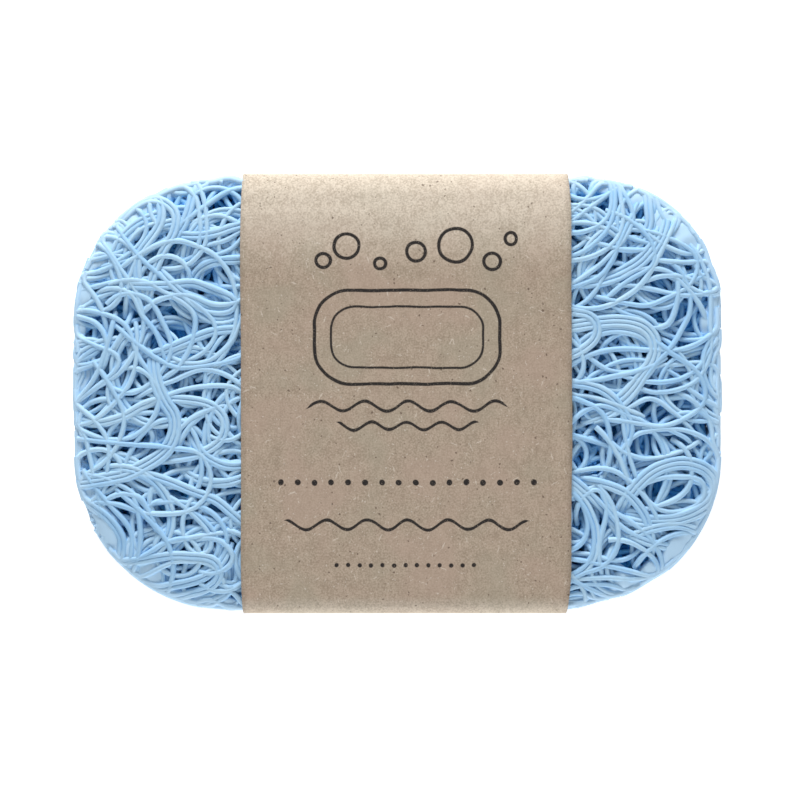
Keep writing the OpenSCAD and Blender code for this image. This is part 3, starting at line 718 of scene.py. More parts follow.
def low_places(bed, count):
    """The middles of the lowest hollows in what has been laid."""
    level = blurred(bed.top.reshape(bed.shape), int(INFILL_REACH / BED_CELL))
    level -= blurred(level, int(INFILL_SURROUND / BED_CELL))
    return lowest(bed, level, count, INFILL_SPREAD)


def holes(bed, count):
    """The middles of the deepest holes in what has been laid, within the mat."""
    level = blurred(bed.top.reshape(bed.shape), 1)
    i, j = np.indices(bed.shape)
    depth = inside_by(np.column_stack([i.ravel(), j.ravel()]) * BED_CELL - bed.half).reshape(bed.shape)
    return lowest(bed, np.where(depth > HOLE_INSET, level, level.max()), count, HOLE_SPREAD)


def lowest(bed, level, count, spread):
    """The lowest places of a grid over the mat, spread apart from each other."""
    i, j = np.unravel_index(np.argsort(level, axis=None)[::CELL_SKIP], bed.shape)
    places = []
    for place in np.column_stack([i, j]) * BED_CELL - bed.half:
        if all(np.hypot(*(place - other)) > spread for other in places):
            places.append(place)
        if len(places) == count:
            break
    return places


def lay_mat():
    """Several passes of looped rows, one over the other, and the listed strands on top."""
    rng = np.random.default_rng(11)
    bed = Bed(0.0)
    strands = []
    for n in range(PASSES):
        run_way = -1 if n % 2 else 1
        paths = []
        for row in range(ROWS_IN_A_PASS):
            row_y = (row - (ROWS_IN_A_PASS - 1) / 2 - run_way * PASS_SHIFT) * ROW_PITCH
            path = row_path(rng, row_y, run_way, rng.choice([-1, 1]))
            paths += bundle(rng, path, BUNDLES[(row + 3 * n) % len(BUNDLES)])
        strands += lay_together(bed, paths)
        for _ in range(INFILL_BATCHES):
            strands += lay_together(bed, [arc_path(rng, p) for p in low_places(bed, INFILL_ARCS)])
        for _ in range(HOLE_BATCHES if n == PASSES - 2 else 0):
            strands += lay_together(bed, [arc_path(rng, p) for p in holes(bed, HOLE_ARCS)])
    for count, *points in TOP_STRANDS:
        path = carried_on(rng, smooth_route(points, SAMPLE_STEP))
        for side in np.arange(count) - (count - 1) / 2:
            strands += lay_together(bed, [beside(path, side * STRAND_D * FUSED_APART)])
    return strands, bed


def blurred(grid, reach):
    """The grid with each cell averaged over its neighbours, along one axis and then the other."""
    width = 2 * reach + 1
    for axis in (0, 1):
        for _ in range(2):
            pad = [(reach, reach) if a == axis else (0, 0) for a in (0, 1)]
            windows = np.lib.stride_tricks.sliding_window_view(np.pad(grid, pad, "edge"), width, axis=axis)
            grid = windows.mean(axis=-1)
    return grid


def at(bed, grid, points):
    """The grid's value at each point."""
    cells = np.rint((points[:, :2] + bed.half) / BED_CELL).astype(int)
    i, j = np.clip(cells, 0, bed.shape - 1).T
    return grid[i, j]


def soften(values, times):
    """Evens out small jumps along a strand, and leaves its two ends where they are."""
    for _ in range(times):
        values[1:-1] = (values[:-2] + 2 * values[1:-1] + values[2:]) / 4
    return values


def fit_thickness(strands, bed):
    """Calenders the pile to the mat's thickness, flat on both faces."""
    pile = blurred(bed.top.reshape(bed.shape), int(FLATTEN_REACH / BED_CELL))
    for strand in strands:
        share = strand[:, 2] / at(bed, pile, strand)
        strand[:, 2] = MAT_BOTTOM + 2 * MAT_HALF * soften(share * PILE_SHARE, 3)
    return strands


# The cut edge

def inside_by(points):
    """How far in from the mat's cut edge each point lies, negative outside it."""
    half = np.array([MAT_LENGTH, MAT_WIDTH]) / 2
    radius = corner_radii(points)
    from_corner = np.abs(points[:, :2]) - (half - radius[:, None])
    beyond = np.hypot(*np.maximum(from_corner, 0).T)
    depth = radius - beyond - np.minimum(from_corner.max(axis=1), 0)
    for x, y, drawn, reach in EDGE_DENTS:
        depth -= drawn * np.exp(-((points[:, 0] - x) ** 2 + (points[:, 1] - y) ** 2) / reach ** 2)
    return depth


def corner_radii(points):
    """The radius of the cut edge's corner in each point's quarter of the mat."""
    radii = np.zeros(len(points))
    for (sign_x, sign_y), radius in CORNER_RADII.items():
        radii[(points[:, 0] * sign_x >= 0) & (points[:, 1] * sign_y >= 0)] = radius
    return radii


def edge_normal(points):
    """The outward direction of the cut edge nearest to each point."""
    half = np.array([MAT_LENGTH, MAT_WIDTH]) / 2
    from_corner = np.abs(points[:, :2]) - (half - corner_radii(points)[:, None])
    out = np.maximum(from_corner, 0)
    flat = out.max(axis=1) <= 0
    out[flat, from_corner[flat].argmax(axis=1)] = 1
    return np.sign(points[:, :2]) * out / np.hypot(*out.T)[:, None]


def closing(depth):
    """The mat's thickness at a depth from its cut edge, as a share of the whole."""
    inner = np.clip(depth / RIM_DEPTH, 0, 1)
    return RIM_SHARE + (1 - RIM_SHARE) * np.sqrt(1 - (1 - inner) ** 2)


def shoulder(y):
    """How much of its height the mat's upper face keeps towards the far long edge."""
    share = np.clip((y - SHOULDER_START) / (MAT_WIDTH / 2 - SHOULDER_START), 0, 1)
    return 1 - SHOULDER_DROP * share ** SHOULDER_POWER


def press(strand):
    """Keeps a strand between the mat's faces, which close towards each other at the cut edge."""
    reach = MAT_HALF - STRAND_D / 2
    height = np.clip((strand[:, 2] - MAT_MIDDLE) / reach, -PRESSED_MOST, PRESSED_MOST)
    over = np.tanh((np.abs(height) - PRESSED_FROM) / PRESSED_OVER)
    pressed = np.sign(height) * np.minimum(np.abs(height), PRESSED_FROM + PRESSED_OVER * over)
    pressed = np.where(pressed > 0, pressed * shoulder(strand[:, 1]), pressed)
    strand[:, 2] = MAT_MIDDLE + pressed * reach * closing(inside_by(strand))
    return soften(strand, 4)


def spaced(length):
    """The same line in space, with its points one step apart."""
    along = np.concatenate([[0], np.cumsum(np.linalg.norm(np.diff(length, axis=0), axis=1))])
    marks = np.arange(0, along[-1], SAMPLE_STEP)
    return np.column_stack([np.interp(marks, along, length[:, i]) for i in range(3)])


def cut_out(rng, strand):
    """The lengths of a strand that the die leaves, with what strays a little pressed along its edge."""
    depth = inside_by(strand)
    kept = depth > -RIM_STRAY
    inset = RIM_INSET + RIM_INSET_VARY * rng.random()
    pressed = strand.copy()
    pressed[:, :2] -= edge_normal(strand) * np.maximum(inset - depth, 0)[:, None]
    ends = np.flatnonzero(np.diff(np.concatenate([[0], kept.astype(int), [0]])))
    lengths = [spaced(pressed[a:b]) for a, b in ends.reshape(-1, 2) if b - a > FEWEST_POINTS]
    return [press(length) for length in lengths if (len(length) - 1) * SAMPLE_STEP > SHORTEST_LENGTH]


# Turning strands into pieces

def new_object(name, mesh):
    """An object for a mesh, in the scene."""
    piece = bpy.data.objects.new(name, mesh)
    bpy.context.scene.collection.objects.link(piece)
    return piece


def rim_mask(points):
    """How far a place has melted into the rim, from 0 inside the mat to 1 at its cut edge."""
    return np.clip(1 - inside_by(points) / RIM_MELT, 0, 1)


def buried(points):
    """How deep a place lies among the strands, from 0 at the mat's faces to 1 well within it."""
    from_faces = np.minimum(MAT_TOP - points[:, 2], points[:, 2] - MAT_BOTTOM)
    return np.clip(np.minimum(from_faces, inside_by(points)) / BURIED_DEPTH, 0, 1)


def tube_piece(rng, name, lengths, material):
    """One piece of many tubes, swept along the lengths by Blender's own curve bevel.

    Each corner of a tube's sections and caps is a vertex, which carries the tone of its length.
    """
    curve = bpy.data.curves.new(name, "CURVE")
    curve.dimensions = "3D"
    curve.bevel_depth = STRAND_D / 2 * MM
    curve.bevel_resolution = RING_CORNERS // 2 - 2
    curve.use_fill_caps = True
    skip = int(round(RING_STEP / SAMPLE_STEP))
    tones = []
    for length in lengths:
        points = length[::skip]
        spline = curve.splines.new("POLY")
        spline.points.add(len(points) - 1)
        spline.points.foreach_set("co", np.column_stack([points * MM, np.ones(len(points))]).ravel())
        s = np.arange(len(points)) * RING_STEP
        thickness = 1 + STRAND_VARY * (drift(rng, s, THICKNESS_STRETCH) + rng.normal()) / 2
        spline.points.foreach_set("radius", thickness * (1 + RIM_SWELL * rim_mask(points) ** 2))
        tones.append(np.full(RING_CORNERS * (len(points) + 2), rng.random()))
    carrier = bpy.data.objects.new(name + "_line", curve)
    bpy.context.scene.collection.objects.link(carrier)
    bpy.context.view_layer.update()
    evaluated = carrier.evaluated_get(bpy.context.evaluated_depsgraph_get())
    mesh = bpy.data.meshes.new_from_object(evaluated)
    bpy.data.objects.remove(carrier)
    mesh.name = name
    mesh.shade_smooth()
    mesh.materials.clear()
    mesh.materials.append(material)
    places = np.empty(len(mesh.vertices) * 3)
    mesh.vertices.foreach_get("co", places)
    places = places.reshape(-1, 3) / MM
    add_value(mesh, "rim", rim_mask(places))
    add_value(mesh, "buried", buried(places))
    add_value(mesh, "tone", np.concatenate(tones))
    return new_object(name, mesh)


def add_value(mesh, name, values):
    """Stores a number for each vertex, which a material can read."""
    mesh.attributes.new(name, "FLOAT", "POINT").data.foreach_set("value", values)


def strand_pieces(rng, lengths, material):
    """The mat in a few pieces, from its lowest strands to its highest."""
    groups = [[]]
    for length in lengths:
        if sum(len(member) for member in groups[-1]) > MOST_POINTS_IN_A_PIECE:
            groups.append([])
        groups[-1].append(length)
    return [tube_piece(rng, "strands_%d" % (n + 1), group, material) for n, group in enumerate(groups)]


# The rim, where the ends of the strands have melted together

def outline_point(turn):
    """A point of the mat's cut edge and the direction out of the mat there, for a turn from 0 to 1."""
    half = np.array([MAT_LENGTH, MAT_WIDTH]) / 2 - CORNER_RADIUS
    corner = CORNER_RADIUS * np.pi / 2
    along = turn * (4 * half.sum() + 4 * corner)
    for quarter in range(4):
        straight = 2 * half[(quarter + 1) % 2]
        ahead = np.array([math.cos(np.pi / 2 * (quarter + 1)), math.sin(np.pi / 2 * (quarter + 1))])
        out = np.array([ahead[1], -ahead[0]])
        start = (out * half + out * CORNER_RADIUS) - ahead * straight / 2
        if along <= straight:
            return start + ahead * along, out
        along -= straight
        if along <= corner:
            angle = along / CORNER_RADIUS
            way = out * math.cos(angle) + ahead * math.sin(angle)
            return start + ahead * straight + (way - out) * CORNER_RADIUS, way
        along -= corner
    return outline_point(0.0)


def around(rng, paces):
    """A smooth random number along the cut edge, which ends as it starts."""
    turns = np.arange(RIM_STEPS) / RIM_STEPS
    return sum(np.sin(2 * np.pi * (turns * pace + rng.random())) / len(paces) * 1.5 for pace in paces)


def varied(rng, corner, measure):
    """One of the rim's measures at each of its points round the edge."""
    straight, at_corner, vary, waves = measure
    return straight + at_corner * corner + vary * around(rng, waves)


def rim_film(material):
    """The pale skin along the cut edge, where the die has melted the strands together."""
    rng = np.random.default_rng(4)
    corner = np.array([np.abs(outline_point(n / RIM_STEPS)[1]).min() for n in range(RIM_STEPS)])
    width = np.clip(varied(rng, corner, RIM_WIDTH), *RIM_WIDTHS)
    sink = varied(rng, corner, RIM_SINK)
    start = varied(rng, corner, RIM_START)
    lumps = np.column_stack([around(rng, RIM_LUMP_WAVES) for _ in range(RIM_LUMP_ROWS)])
    shell = bmesh.new()
    rings = []
    for reach, height in RIM_SECTION:
        ring = bmesh.ops.create_circle(shell, segments=RIM_STEPS)["verts"]
        for n, vert in enumerate(ring):
            place, out = outline_point(n / RIM_STEPS)
            place = place + out * inside_by(place[None])[0]
            depth = start[n] + reach * width[n]
            rise = MAT_HALF * closing(depth) * (shoulder(place[1]) if height > 0 else 1)
            rise -= sink[n] * (1 + RIM_FALL * reach)
            rise += RIM_LUMPS * lumps[n, int(reach * (RIM_LUMP_ROWS - 1))]
            place = place - out * depth
            vert.co = (place[0] * MM, place[1] * MM, (MAT_MIDDLE + height * rise) * MM)
        rings.append([edge for edge in shell.edges if edge.verts[0] in ring and edge.verts[1] in ring])
    for n, ring in enumerate(rings):
        bmesh.ops.bridge_loops(shell, edges=ring + rings[(n + 1) % len(rings)])
    bmesh.ops.recalc_face_normals(shell, faces=shell.faces)
    mesh = bpy.data.meshes.new("rim_film")
    shell.to_mesh(mesh)
    shell.free()
    mesh.shade_smooth()
    mesh.materials.append(material)
    add_value(mesh, "rim", np.ones(len(mesh.vertices)))
    add_value(mesh, "buried", np.zeros(len(mesh.vertices)))
    add_value(mesh, "tone", np.full(len(mesh.vertices), RIM_TONE))
    return new_object("rim_film", mesh)


# The paper band

def rounded_run(corners):
    """A line through corners of a section, in even steps, with each corner turned at its own radius."""
    line = [np.array(corners[0][:2], float)]
    for (x0, y0, _), (x1, y1, radius), (x2, y2, _) in zip(corners, corners[1:], corners[2:]):
        before = np.array([x0 - x1, y0 - y1], float)
        after = np.array([x2 - x1, y2 - y1], float)
        before /= np.hypot(*before)
        after /= np.hypot(*after)
        half_angle = math.acos(float(np.clip(before @ after, -1, 1))) / 2
        back = radius / math.tan(half_angle)
        for u in np.linspace(0, 1, 9):
            start = np.array([x1, y1]) + before * back
            end = np.array([x1, y1]) + after * back
            line.append((1 - u) ** 2 * start + 2 * u * (1 - u) * np.array([x1, y1]) + u ** 2 * end)
    line.append(np.array(corners[-1][:2], float))
    return even_steps(np.array(line), PAPER_STEP)


def paper_band(material, edge_material):
    """The belly band, one long strip of paper folded round the mat and lapped on its underside."""
    rng = np.random.default_rng(8)
    line = rounded_run(BAND_SECTION)
    sheet = bmesh.new()
    steps = len(line) - 1
    s = np.arange(len(line)) * PAPER_STEP
    low_edge = BAND_MIDDLE - BAND_HALF + EDGE_WANDER * (drift(rng, s, EDGE_STRETCH[0]) + 1)
    high_edge = BAND_MIDDLE + BAND_HALF - EDGE_WANDER * (drift(rng, s, EDGE_STRETCH[1]) + 1)
    for y, z, low_pull, high_pull, reach in BAND_PULLS:
        near = np.exp(-((line[:, 0] - y) ** 2 + (line[:, 1] - z) ** 2) / reach ** 2)
        low_edge = low_edge + low_pull * near
        high_edge = high_edge - high_pull * near
    bmesh.ops.create_grid(sheet, x_segments=PAPER_CELLS, y_segments=steps, size=1)
    for vert in sheet.verts:
        u = (vert.co.x + 1) / 2
        n = int(round((vert.co.y + 1) / 2 * steps))
        x = low_edge[n] + u * (high_edge[n] - low_edge[n])
        vert.co = (x * MM, line[n, 0] * MM, line[n, 1] * MM)
    bmesh.ops.reverse_faces(sheet, faces=sheet.faces)
    mesh = bpy.data.meshes.new("belly_band")
    sheet.to_mesh(mesh)
    sheet.free()
    mesh.shade_smooth()
    mesh.materials.append(material)
    mesh.materials.append(edge_material)
    piece = new_object("belly_band", mesh)
    thickness = piece.modifiers.new("paper", "SOLIDIFY")
    thickness.thickness = PAPER_T * MM
    thickness.offset = 0
    thickness.use_even_offset = True
    thickness.material_offset_rim = 1
    return piece


# Materials

class Wiring:
    """Adds nodes to a material or a node group, and joins them up."""

    def __init__(self, tree):
        self.tree = tree

    def node(self, kind, sockets=None, **settings):
        """A new node, with its settings and with what is fed into its sockets."""
        node = self.tree.nodes.new("ShaderNode" + kind)
        for name, value in settings.items():
            setattr(node, name, value)
        for name, value in (sockets or {}).items():
            self.feed(node.inputs[name], value)
        return node

    def feed(self, socket, value):
        """Links a socket to another's output, or sets it."""
        if isinstance(value, bpy.types.NodeSocket):
            self.tree.links.new(value, socket)
        else:
            socket.default_value = value

    def calc(self, operation, *values):
        """A Math node's result."""
        node = self.node("Math", operation=operation)
        for socket, value in zip(node.inputs, values):
            self.feed(socket, value)
        return node.outputs[0]

    def plus(self, first, second):
        """The sum of two values."""
        return self.calc("ADD", first, second)

    def minus(self, first, second):
        """One value less another."""
        return self.calc("SUBTRACT", first, second)

    def times(self, first, second):
        """The product of two values."""
        return self.calc("MULTIPLY", first, second)

    def larger(self, first, second):
        """The larger of two values."""
        return self.calc("MAXIMUM", first, second)

    def vector_calc(self, operation, sockets, output="Vector"):
        """A Vector Math node's result."""
        return self.node("VectorMath", sockets, operation=operation).outputs[output]

    def ramp(self, value, low, high, to_low=0.0, to_high=1.0):
        """The value, spread smoothly from one range to another."""
        sockets = {"Value": value, "From Min": low, "From Max": high, "To Min": to_low, "To Max": to_high}
        return self.node("MapRange", sockets, interpolation_type="SMOOTHSTEP").outputs["Result"]

    def mix(self, factor, first, second):
        """A blend of two colours."""
        node = self.node("Mix", data_type="RGBA")
        self.feed(node.inputs["Factor"], factor)
        self.feed(node.inputs["A"], first)
        self.feed(node.inputs["B"], second)
        return node.outputs["Result"]

    def noise(self, vector, scale, detail=2.0):
        """A cloudy tone."""
        sockets = {"Vector": vector, "Scale": scale, "Detail": detail}
        return self.node("TexNoise", sockets).outputs["Fac"]

    def shaken(self, vector, scale, by):
        """The vector, shaken by so much, so that what lies on it runs a little unevenly."""
        shake = self.node("TexNoise", {"Vector": vector, "Scale": scale, "Detail": 1.0}).outputs["Color"]
        shift = self.vector_calc("SUBTRACT", {0: shake, 1: (0.5, 0.5, 0.5)})
        shift = self.vector_calc("SCALE", {0: shift, "Scale": by})
        return self.vector_calc("ADD", {0: vector, 1: shift})

    def group(self, tree, sockets):
        """A node group in use."""
        node = self.tree.nodes.new("ShaderNodeGroup")
        node.node_tree = tree
        for name, value in sockets.items():
            self.feed(node.inputs[name], value)
        return node


def new_group(name, inputs, outputs):
    """An empty shader node group, its wiring, and the nodes of its inputs and outputs."""
    tree = bpy.data.node_groups.new(name, "ShaderNodeTree")
    for label, kind in inputs:
        tree.interface.new_socket(label, in_out="INPUT", socket_type=kind)
    for label, kind in outputs:
        tree.interface.new_socket(label, in_out="OUTPUT", socket_type=kind)
    entry = tree.nodes.new("NodeGroupInput")
    leave = tree.nodes.new("NodeGroupOutput")
    return tree, Wiring(tree), entry.outputs, leave.inputs


def flecks_group():
    """Scattered spots: one in each of a share of cells, whose shape and size vary."""
    inputs = (("Vector", "NodeSocketVector"), ("Scale", "NodeSocketFloat"), ("Size", "NodeSocketFloat"),
              ("Share", "NodeSocketFloat"))
    tree, wire, entry, leave = new_group("flecks", inputs, (("Mask", "NodeSocketFloat"),))
    cells = wire.node("TexVoronoi", {"Vector": entry["Vector"], "Scale": entry["Scale"], "Randomness": 1.0})
    draw = wire.node("SeparateColor", {"Color": cells.outputs["Color"]})
    picked = wire.calc("LESS_THAN", draw.outputs["Red"], entry["Share"])
    size = wire.times(entry["Size"], wire.ramp(draw.outputs["Green"], 0.0, 1.0, 0.45, 1.0))
    spot = wire.ramp(wire.minus(size, cells.outputs["Distance"]), 0.0, 0.06)
    wire.feed(leave["Mask"], wire.times(spot, picked))
    return tree


def fibres_group():
    """The felted fibres of paper: a grainy, clouded tone, and a fine height for its bump."""
    inputs = (("Vector", "NodeSocketVector"), ("Run", "NodeSocketFloat"))
    outputs = (("Tone", "NodeSocketFloat"), ("Height", "NodeSocketFloat"))
    tree, wire, entry, leave = new_group("fibres", inputs, outputs)
    lengthwise = wire.node("CombineXYZ", {"X": 1.0, "Y": entry["Run"], "Z": 1.0})
    scaled = wire.vector_calc("MULTIPLY", {0: entry["Vector"], 1: lengthwise.outputs[0]})
    streaks = wire.noise(scaled, 1300.0, 3.0)
    clouds = wire.noise(entry["Vector"], 420.0, 3.0)
    grit = wire.noise(entry["Vector"], 3000.0, 1.5)
    tone = wire.plus(wire.times(streaks, 0.22), wire.times(clouds, 0.2))
    wire.feed(leave["Tone"], wire.plus(tone, wire.times(grit, 0.58)))
    wire.feed(leave["Height"], wire.plus(wire.times(streaks, 0.6), wire.times(grit, 0.4)))
    return tree


def melt_group():
    """The drawn and half melted skin of extruded strand: a tone along it, and the height of its ripples."""
    inputs = (("Vector", "NodeSocketVector"), ("Ripple", "NodeSocketFloat"))
    outputs = (("Tone", "NodeSocketFloat"), ("Height", "NodeSocketFloat"))
    tree, wire, entry, leave = new_group("melt", inputs, outputs)
    wide = wire.noise(entry["Vector"], 190.0, 2.0)
    fine = wire.noise(entry["Vector"], entry["Ripple"], 2.0)
    wire.feed(leave["Tone"], wire.plus(wire.times(wide, 0.7), wire.times(fine, 0.3)))
    wire.feed(leave["Height"], fine)
    return tree


def inked(wire, distance, half):
    """Ink up to a distance, with a soft edge."""
    return wire.ramp(distance, half - INK_SOFT, half + INK_SOFT, 1.0, 0.0)


def stroke(wire, distance, width):
    """Ink where a distance is within half a stroke's width of zero."""
    return inked(wire, wire.calc("ABSOLUTE", distance), width / 2)


def print_group():
    """The plain ornament on the band: a bar of soap in outline, bubbles, wavy lines and rows of dots."""
    outputs = (("Ink", "NodeSocketFloat"),)
    tree, wire, entry, leave = new_group("ornament", (("Vector", "NodeSocketVector"),), outputs)
    in_mm = wire.vector_calc("SCALE", {0: entry["Vector"], "Scale": 1 / MM})
    place = wire.shaken(in_mm, 0.21, INK_SHAKE)
    x, y, z = wire.node("SeparateXYZ", {"Vector": place}).outputs
    marks = []
    for bubble_x, bubble_y, radius in BUBBLES:
        marks.append(stroke(wire, outside_bar(wire, x, y, bubble_x, bubble_y, 0, 0, radius), INK_STROKE))
    bar_x, bar_y, half_x, half_y, round_by = SOAP_BAR
    for inset, share in BAR_LINES:
        turn = round_by - BAR_TURN * inset
        reach = (half_x - inset - turn, half_y - inset - turn)
        marks.append(stroke(wire, outside_bar(wire, x, y, bar_x, bar_y, *reach, turn), INK_STROKE * share))
    for level, height, length, low, high in WAVES:
        swing = wire.times(wire.calc("SINE", wire.times(x, 2 * math.pi / length)), height)
        started = wire.ramp(x, low, low + WAVE_TAPER)
        ended = wire.ramp(x, high - WAVE_TAPER, high, 1.0, 0.0)
        away = wire.minus(wire.minus(y, level), swing)
        line = stroke(wire, wire.calc("DIVIDE", away, wire.times(started, ended)), INK_STROKE)
        marks.append(wire.times(line, within(wire, x, low, high)))
    for level, apart, radius, low, high in DOT_ROWS:
        from_dot = wire.calc("PINGPONG", wire.minus(x, low + apart / 2), apart / 2)
        away = wire.minus(y, level)
        far = wire.calc("SQRT", wire.plus(wire.calc("POWER", from_dot, 2.0), wire.times(away, away)))
        marks.append(wire.times(inked(wire, far, radius), within(wire, x, low, high)))
    ink = marks[0]
    for mark in marks[1:]:
        ink = wire.larger(ink, mark)
    on_top = wire.ramp(z, *PRINT_HEIGHT)
    wear = wire.ramp(wire.noise(in_mm, 5.0, 3.0), 0.28, 0.42, 0.55, 1.0)
    wire.feed(leave["Ink"], wire.times(wire.times(ink, on_top), wear))
    return tree


def within(wire, value, low, high):
    """1 where a value lies between two others."""
    return wire.times(wire.calc("GREATER_THAN", value, low), wire.calc("LESS_THAN", value, high))


def outside_bar(wire, x, y, middle_x, middle_y, half_x, half_y, turn):
    """The distance outside a rounded bar, which is a circle where its halves are zero."""
    over_x = wire.minus(wire.calc("ABSOLUTE", wire.minus(x, middle_x)), half_x)
    over_y = wire.minus(wire.calc("ABSOLUTE", wire.minus(y, middle_y)), half_y)
    side = wire.node("CombineXYZ", {"X": wire.larger(over_x, 0.0), "Y": wire.larger(over_y, 0.0)})
    beyond = wire.vector_calc("LENGTH", {0: side.outputs[0]}, "Value")
    inner = wire.calc("MINIMUM", wire.larger(over_x, over_y), 0.0)
    return wire.minus(wire.plus(beyond, inner), turn)


def new_material(name, roughness):
    """A material's wiring, its shader and the Object coordinates that its patterns lie on."""
    material = bpy.data.materials.new(name)
    material.use_nodes = True
    wire = Wiring(material.node_tree)
    shader = material.node_tree.nodes["Principled BSDF"]
    shader.inputs["Roughness"].default_value = roughness
    return material, wire, shader, wire.node("TexCoord").outputs["Object"]


def bumped(wire, shader, height, strength, distance):
    """Gives a shader a bump from a height."""
    bump = wire.node("Bump", {"Height": height, "Strength": strength, "Distance": distance * MM})
    wire.feed(shader.inputs["Normal"], bump.outputs["Normal"])


def strand_material(name, melt, ripple, roughness):
    """Soft, satin, light blue plastic, paler where it has melted at the cut edge, and painted a deeper blue
    as shade well within the mat.
    """
    material, wire, shader, where = new_material(name, roughness)
    skin = wire.group(melt, {"Vector": where, "Ripple": ripple})
    tone = wire.node("Attribute", attribute_name="tone").outputs["Fac"]
    shade = wire.plus(wire.times(tone, TONE_WEIGHT), wire.times(skin.outputs["Tone"], SKIN_WEIGHT))
    body = wire.mix(wire.ramp(shade, *TONE_RANGE), BLUE_DEEP, BLUE_LIGHT)
    # Painted shade: strands well within the mat are painted a deeper, saturated blue
    deep = wire.node("Attribute", attribute_name="buried").outputs["Fac"]
    body = wire.mix(wire.ramp(deep, *PAINTED_SHADE_RANGE), body, BLUE_PAINTED_SHADE)
    rim = wire.node("Attribute", attribute_name="rim").outputs["Fac"]
    melted = wire.ramp(wire.plus(rim, wire.times(skin.outputs["Tone"], MELT_WEIGHT)), *MELT_RANGE)
    wire.feed(shader.inputs["Base Color"], wire.mix(melted, body, BLUE_MELTED))
    rough = wire.ramp(skin.outputs["Tone"], 0.3, 0.7, roughness - 0.07, roughness + 0.09)
    wire.feed(shader.inputs["Roughness"], rough)
    shader.inputs["Specular IOR Level"].default_value = STRAND_SHINE
    bumped(wire, shader, skin.outputs["Height"], 0.35, 0.08)
    return material


def spotted(wire, flecks, where, base, spots, colour):
    """The base colour, with spots of another colour scattered over it."""
    scale, size, share, weight = spots
    sockets = {"Vector": where, "Scale": scale, "Size": size, "Share": share}
    mask = wire.group(flecks, sockets).outputs["Mask"]
    return wire.mix(wire.times(mask, weight), base, colour)


def paper_material(name, fibres, flecks, ornament, colours):
    """Uncoated kraft paper with dark specks, pale fibres and, where it is given, print."""
    material, wire, shader, where = new_material(name, PAPER_ROUGH)
    felt = wire.group(fibres, {"Vector": where, "Run": PAPER_RUN})
    grain = wire.ramp(felt.outputs["Tone"], 0.35, 0.65)
    base = wire.mix(grain, *colours)
    if ornament:
        clouds = wire.noise(where, 85.0, 2.0)
        base = wire.mix(wire.ramp(clouds, 0.47, 0.66, 0.0, 0.5), base, PAPER_ROSY)
        base = wire.mix(wire.ramp(clouds, 0.34, 0.5, 0.4, 0.0), base, PAPER_GREY)
    y = wire.node("SeparateXYZ", {"Vector": where}).outputs["Y"]
    # Paler paper along the near fold, and a painted highlight over the far bend, varied by the grain
    pale_and_highlit = wire.larger(*[wire.ramp(y, low * MM, high * MM, 0.0, most) for low, high, most in PALE_FOLDS_AND_PAINTED_HIGHLIGHT])
    pale_and_highlit = wire.times(pale_and_highlit, wire.ramp(felt.outputs["Tone"], 0.2, 0.6, 0.45, 0.85))
    base = wire.mix(pale_and_highlit, base, wire.mix(grain, *PAPER_PALE_AND_HIGHLIT))
    frayed = wire.shaken(where, 2400.0, 0.45 * MM)
    for turn in FIBRE_TURNS:
        sockets = {"Vector": frayed, "Rotation": (0, 0, turn), "Scale": (1.0, FIBRE_LENGTH, 1.0)}
        laid = wire.node("Mapping", sockets, vector_type="TEXTURE").outputs[0]
        base = spotted(wire, flecks, laid, base, PALE_FIBRES, PAPER_FIBRE)
    base = spotted(wire, flecks, frayed, base, BRIGHT_SPOTS, PAPER_BRIGHT)
    for specks in DARK_SPECKS:
        base = spotted(wire, flecks, frayed, base, specks, PAPER_SPECK)
    if ornament:
        base = wire.mix(wire.group(ornament, {"Vector": where}).outputs["Ink"], base, INK)
    wire.feed(shader.inputs["Base Color"], base)
    shader.inputs["Specular IOR Level"].default_value = PAPER_SHINE
    bumped(wire, shader, felt.outputs["Height"], 0.5, 0.06)
    return material


# Making it

rng = np.random.default_rng(23)
melt = melt_group()
fibres = fibres_group()
flecks = flecks_group()
blue_strand = strand_material("blue_strand", melt, STRAND_RIPPLE, STRAND_ROUGH)
blue_rim = strand_material("blue_rim", melt, RIM_RIPPLE, RIM_ROUGH)
kraft_paper = paper_material("kraft_paper", fibres, flecks, print_group(), PAPER_COLOURS)
kraft_edge = paper_material("kraft_edge", fibres, flecks, None, PAPER_EDGE_COLOURS)
tissue_tape = paper_material("tissue_tape", fibres, flecks, None, TAPE_COLOURS)

strands, bed = lay_mat()
strands = fit_thickness(strands, bed)
lengths = [length for strand in strands for length in cut_out(rng, strand)]
mat_pieces = strand_pieces(rng, lengths, blue_strand)
mat_pieces.append(rim_film(blue_rim))
for piece in mat_pieces:
    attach(piece, "pad")
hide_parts(*STRAND_NODES)

band = paper_band(kraft_paper, kraft_edge)
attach(band, "band")
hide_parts("paper_band")
tape = frame["nodes"]["seam_tape"]
tape.data.materials.clear()
tape.data.materials.append(tissue_tape)


# The floor, the light and the camera

def lamp(name, place, size, power):
    """A round soft lamp that faces the middle of the mat."""
    light = bpy.data.lights.new(name, "AREA")
    light.shape = "DISK"
    light.size = size
    light.energy = power
    carrier = bpy.data.objects.new(name, light)
    bpy.context.scene.collection.objects.link(carrier)
    carrier.location = place
    carrier.rotation_euler = (-Vector(place)).to_track_quat("-Z", "Y").to_euler()


def seen_by_eye(wire):
    """1 for a ray that the camera sends out, straight or by way of a reflection."""
    rays = wire.node("LightPath").outputs
    bent = wire.larger(rays["Is Glossy Ray"], rays["Is Transmission Ray"])
    return wire.larger(rays["Is Camera Ray"], bent)


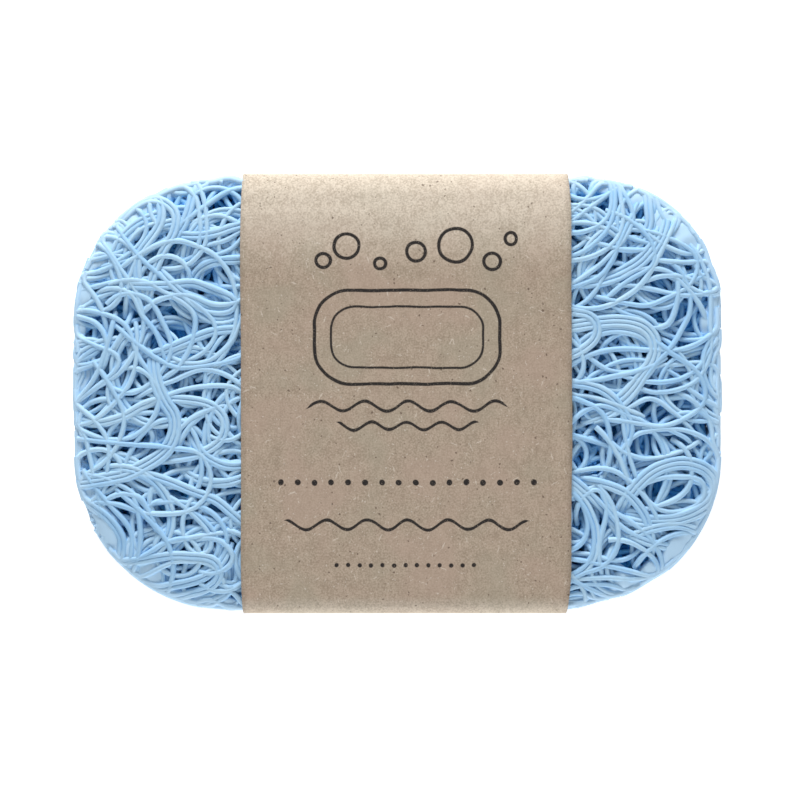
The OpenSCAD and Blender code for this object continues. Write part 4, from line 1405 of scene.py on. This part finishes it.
def white_floor():
    """A white floor that keeps the object's shadow, and is clear from below. Its glow is cut out under the
    mat, which paints the floor there dark as shade.
    """
    plane = bmesh.new()
    bmesh.ops.create_grid(plane, x_segments=1, y_segments=1, size=FLOOR_HALF)
    bmesh.ops.translate(plane, verts=plane.verts, vec=(0, 0, -FLOOR_GAP))
    mesh = bpy.data.meshes.new("floor")
    plane.to_mesh(mesh)
    plane.free()
    material, wire, shader, where = new_material("floor_white", 0.9)
    shader.inputs["Base Color"].default_value = (0.9, 0.9, 0.9, 1)
    shader.inputs["Emission Color"].default_value = (1, 1, 1, 1)
    seen = seen_by_eye(wire)
    flat = wire.node("SeparateXYZ", {"Vector": where}).outputs
    half_x = (MAT_LENGTH / 2 - CORNER_RADIUS) * MM
    half_y = (MAT_WIDTH / 2 - CORNER_RADIUS) * MM
    outside = outside_bar(wire, flat["X"], flat["Y"], 0.0, 0.0, half_x, half_y, CORNER_RADIUS * MM)
    # Painted shade: the glow is cut out under the mat, so the floor seen through its holes stays dark
    glow_outside_painted_shade = wire.ramp(outside, FLOOR_PAINTED_SHADE[0] * MM, FLOOR_PAINTED_SHADE[1] * MM, 0.0, FLOOR_GLOW)
    glow = wire.times(seen, glow_outside_painted_shade)
    wire.feed(shader.inputs["Emission Strength"], glow)
    from_below = wire.node("NewGeometry").outputs["Backfacing"]
    ray_length = wire.node("LightPath").outputs["Ray Length"]
    touching = wire.calc("LESS_THAN", ray_length, 4 * FLOOR_GAP)
    clear = wire.node("BsdfTransparent")
    either = wire.node("MixShader", {"Fac": wire.larger(from_below, touching)})
    wire.feed(either.inputs[1], shader.outputs["BSDF"])
    wire.feed(either.inputs[2], clear.outputs["BSDF"])
    wire.feed(material.node_tree.nodes["Material Output"].inputs["Surface"], either.outputs["Shader"])
    mesh.materials.append(material)
    floor = new_object("floor", mesh)


white_floor()
for lamp_settings in LAMPS:
    lamp(*lamp_settings)
world = bpy.data.worlds.new("world")
bpy.context.scene.world = world
world.use_nodes = True
sky = Wiring(world.node_tree)
backdrop = world.node_tree.nodes["Background"]
backdrop.inputs["Color"].default_value = (1, 1, 1, 1)
sky.feed(backdrop.inputs["Strength"], sky.ramp(seen_by_eye(sky), 0.0, 1.0, SKY_LIGHT, 1.0))
bpy.context.scene.view_settings.view_transform = "Standard"

camera = bpy.data.objects.new("camera", bpy.data.cameras.new("camera"))
bpy.context.scene.collection.objects.link(camera)
bpy.context.scene.camera = camera
camera.location = VIEW_AIM + Vector((0, 0, VIEW_DISTANCE))
camera.data.sensor_width = SENSOR_WIDTH
camera.data.lens = SENSOR_WIDTH * VIEW_DISTANCE / (PHOTO_PIXELS / PIXELS_TO_A_MM * MM)
camera.data.clip_start = CLIP_START

bpy.context.view_layer.update()
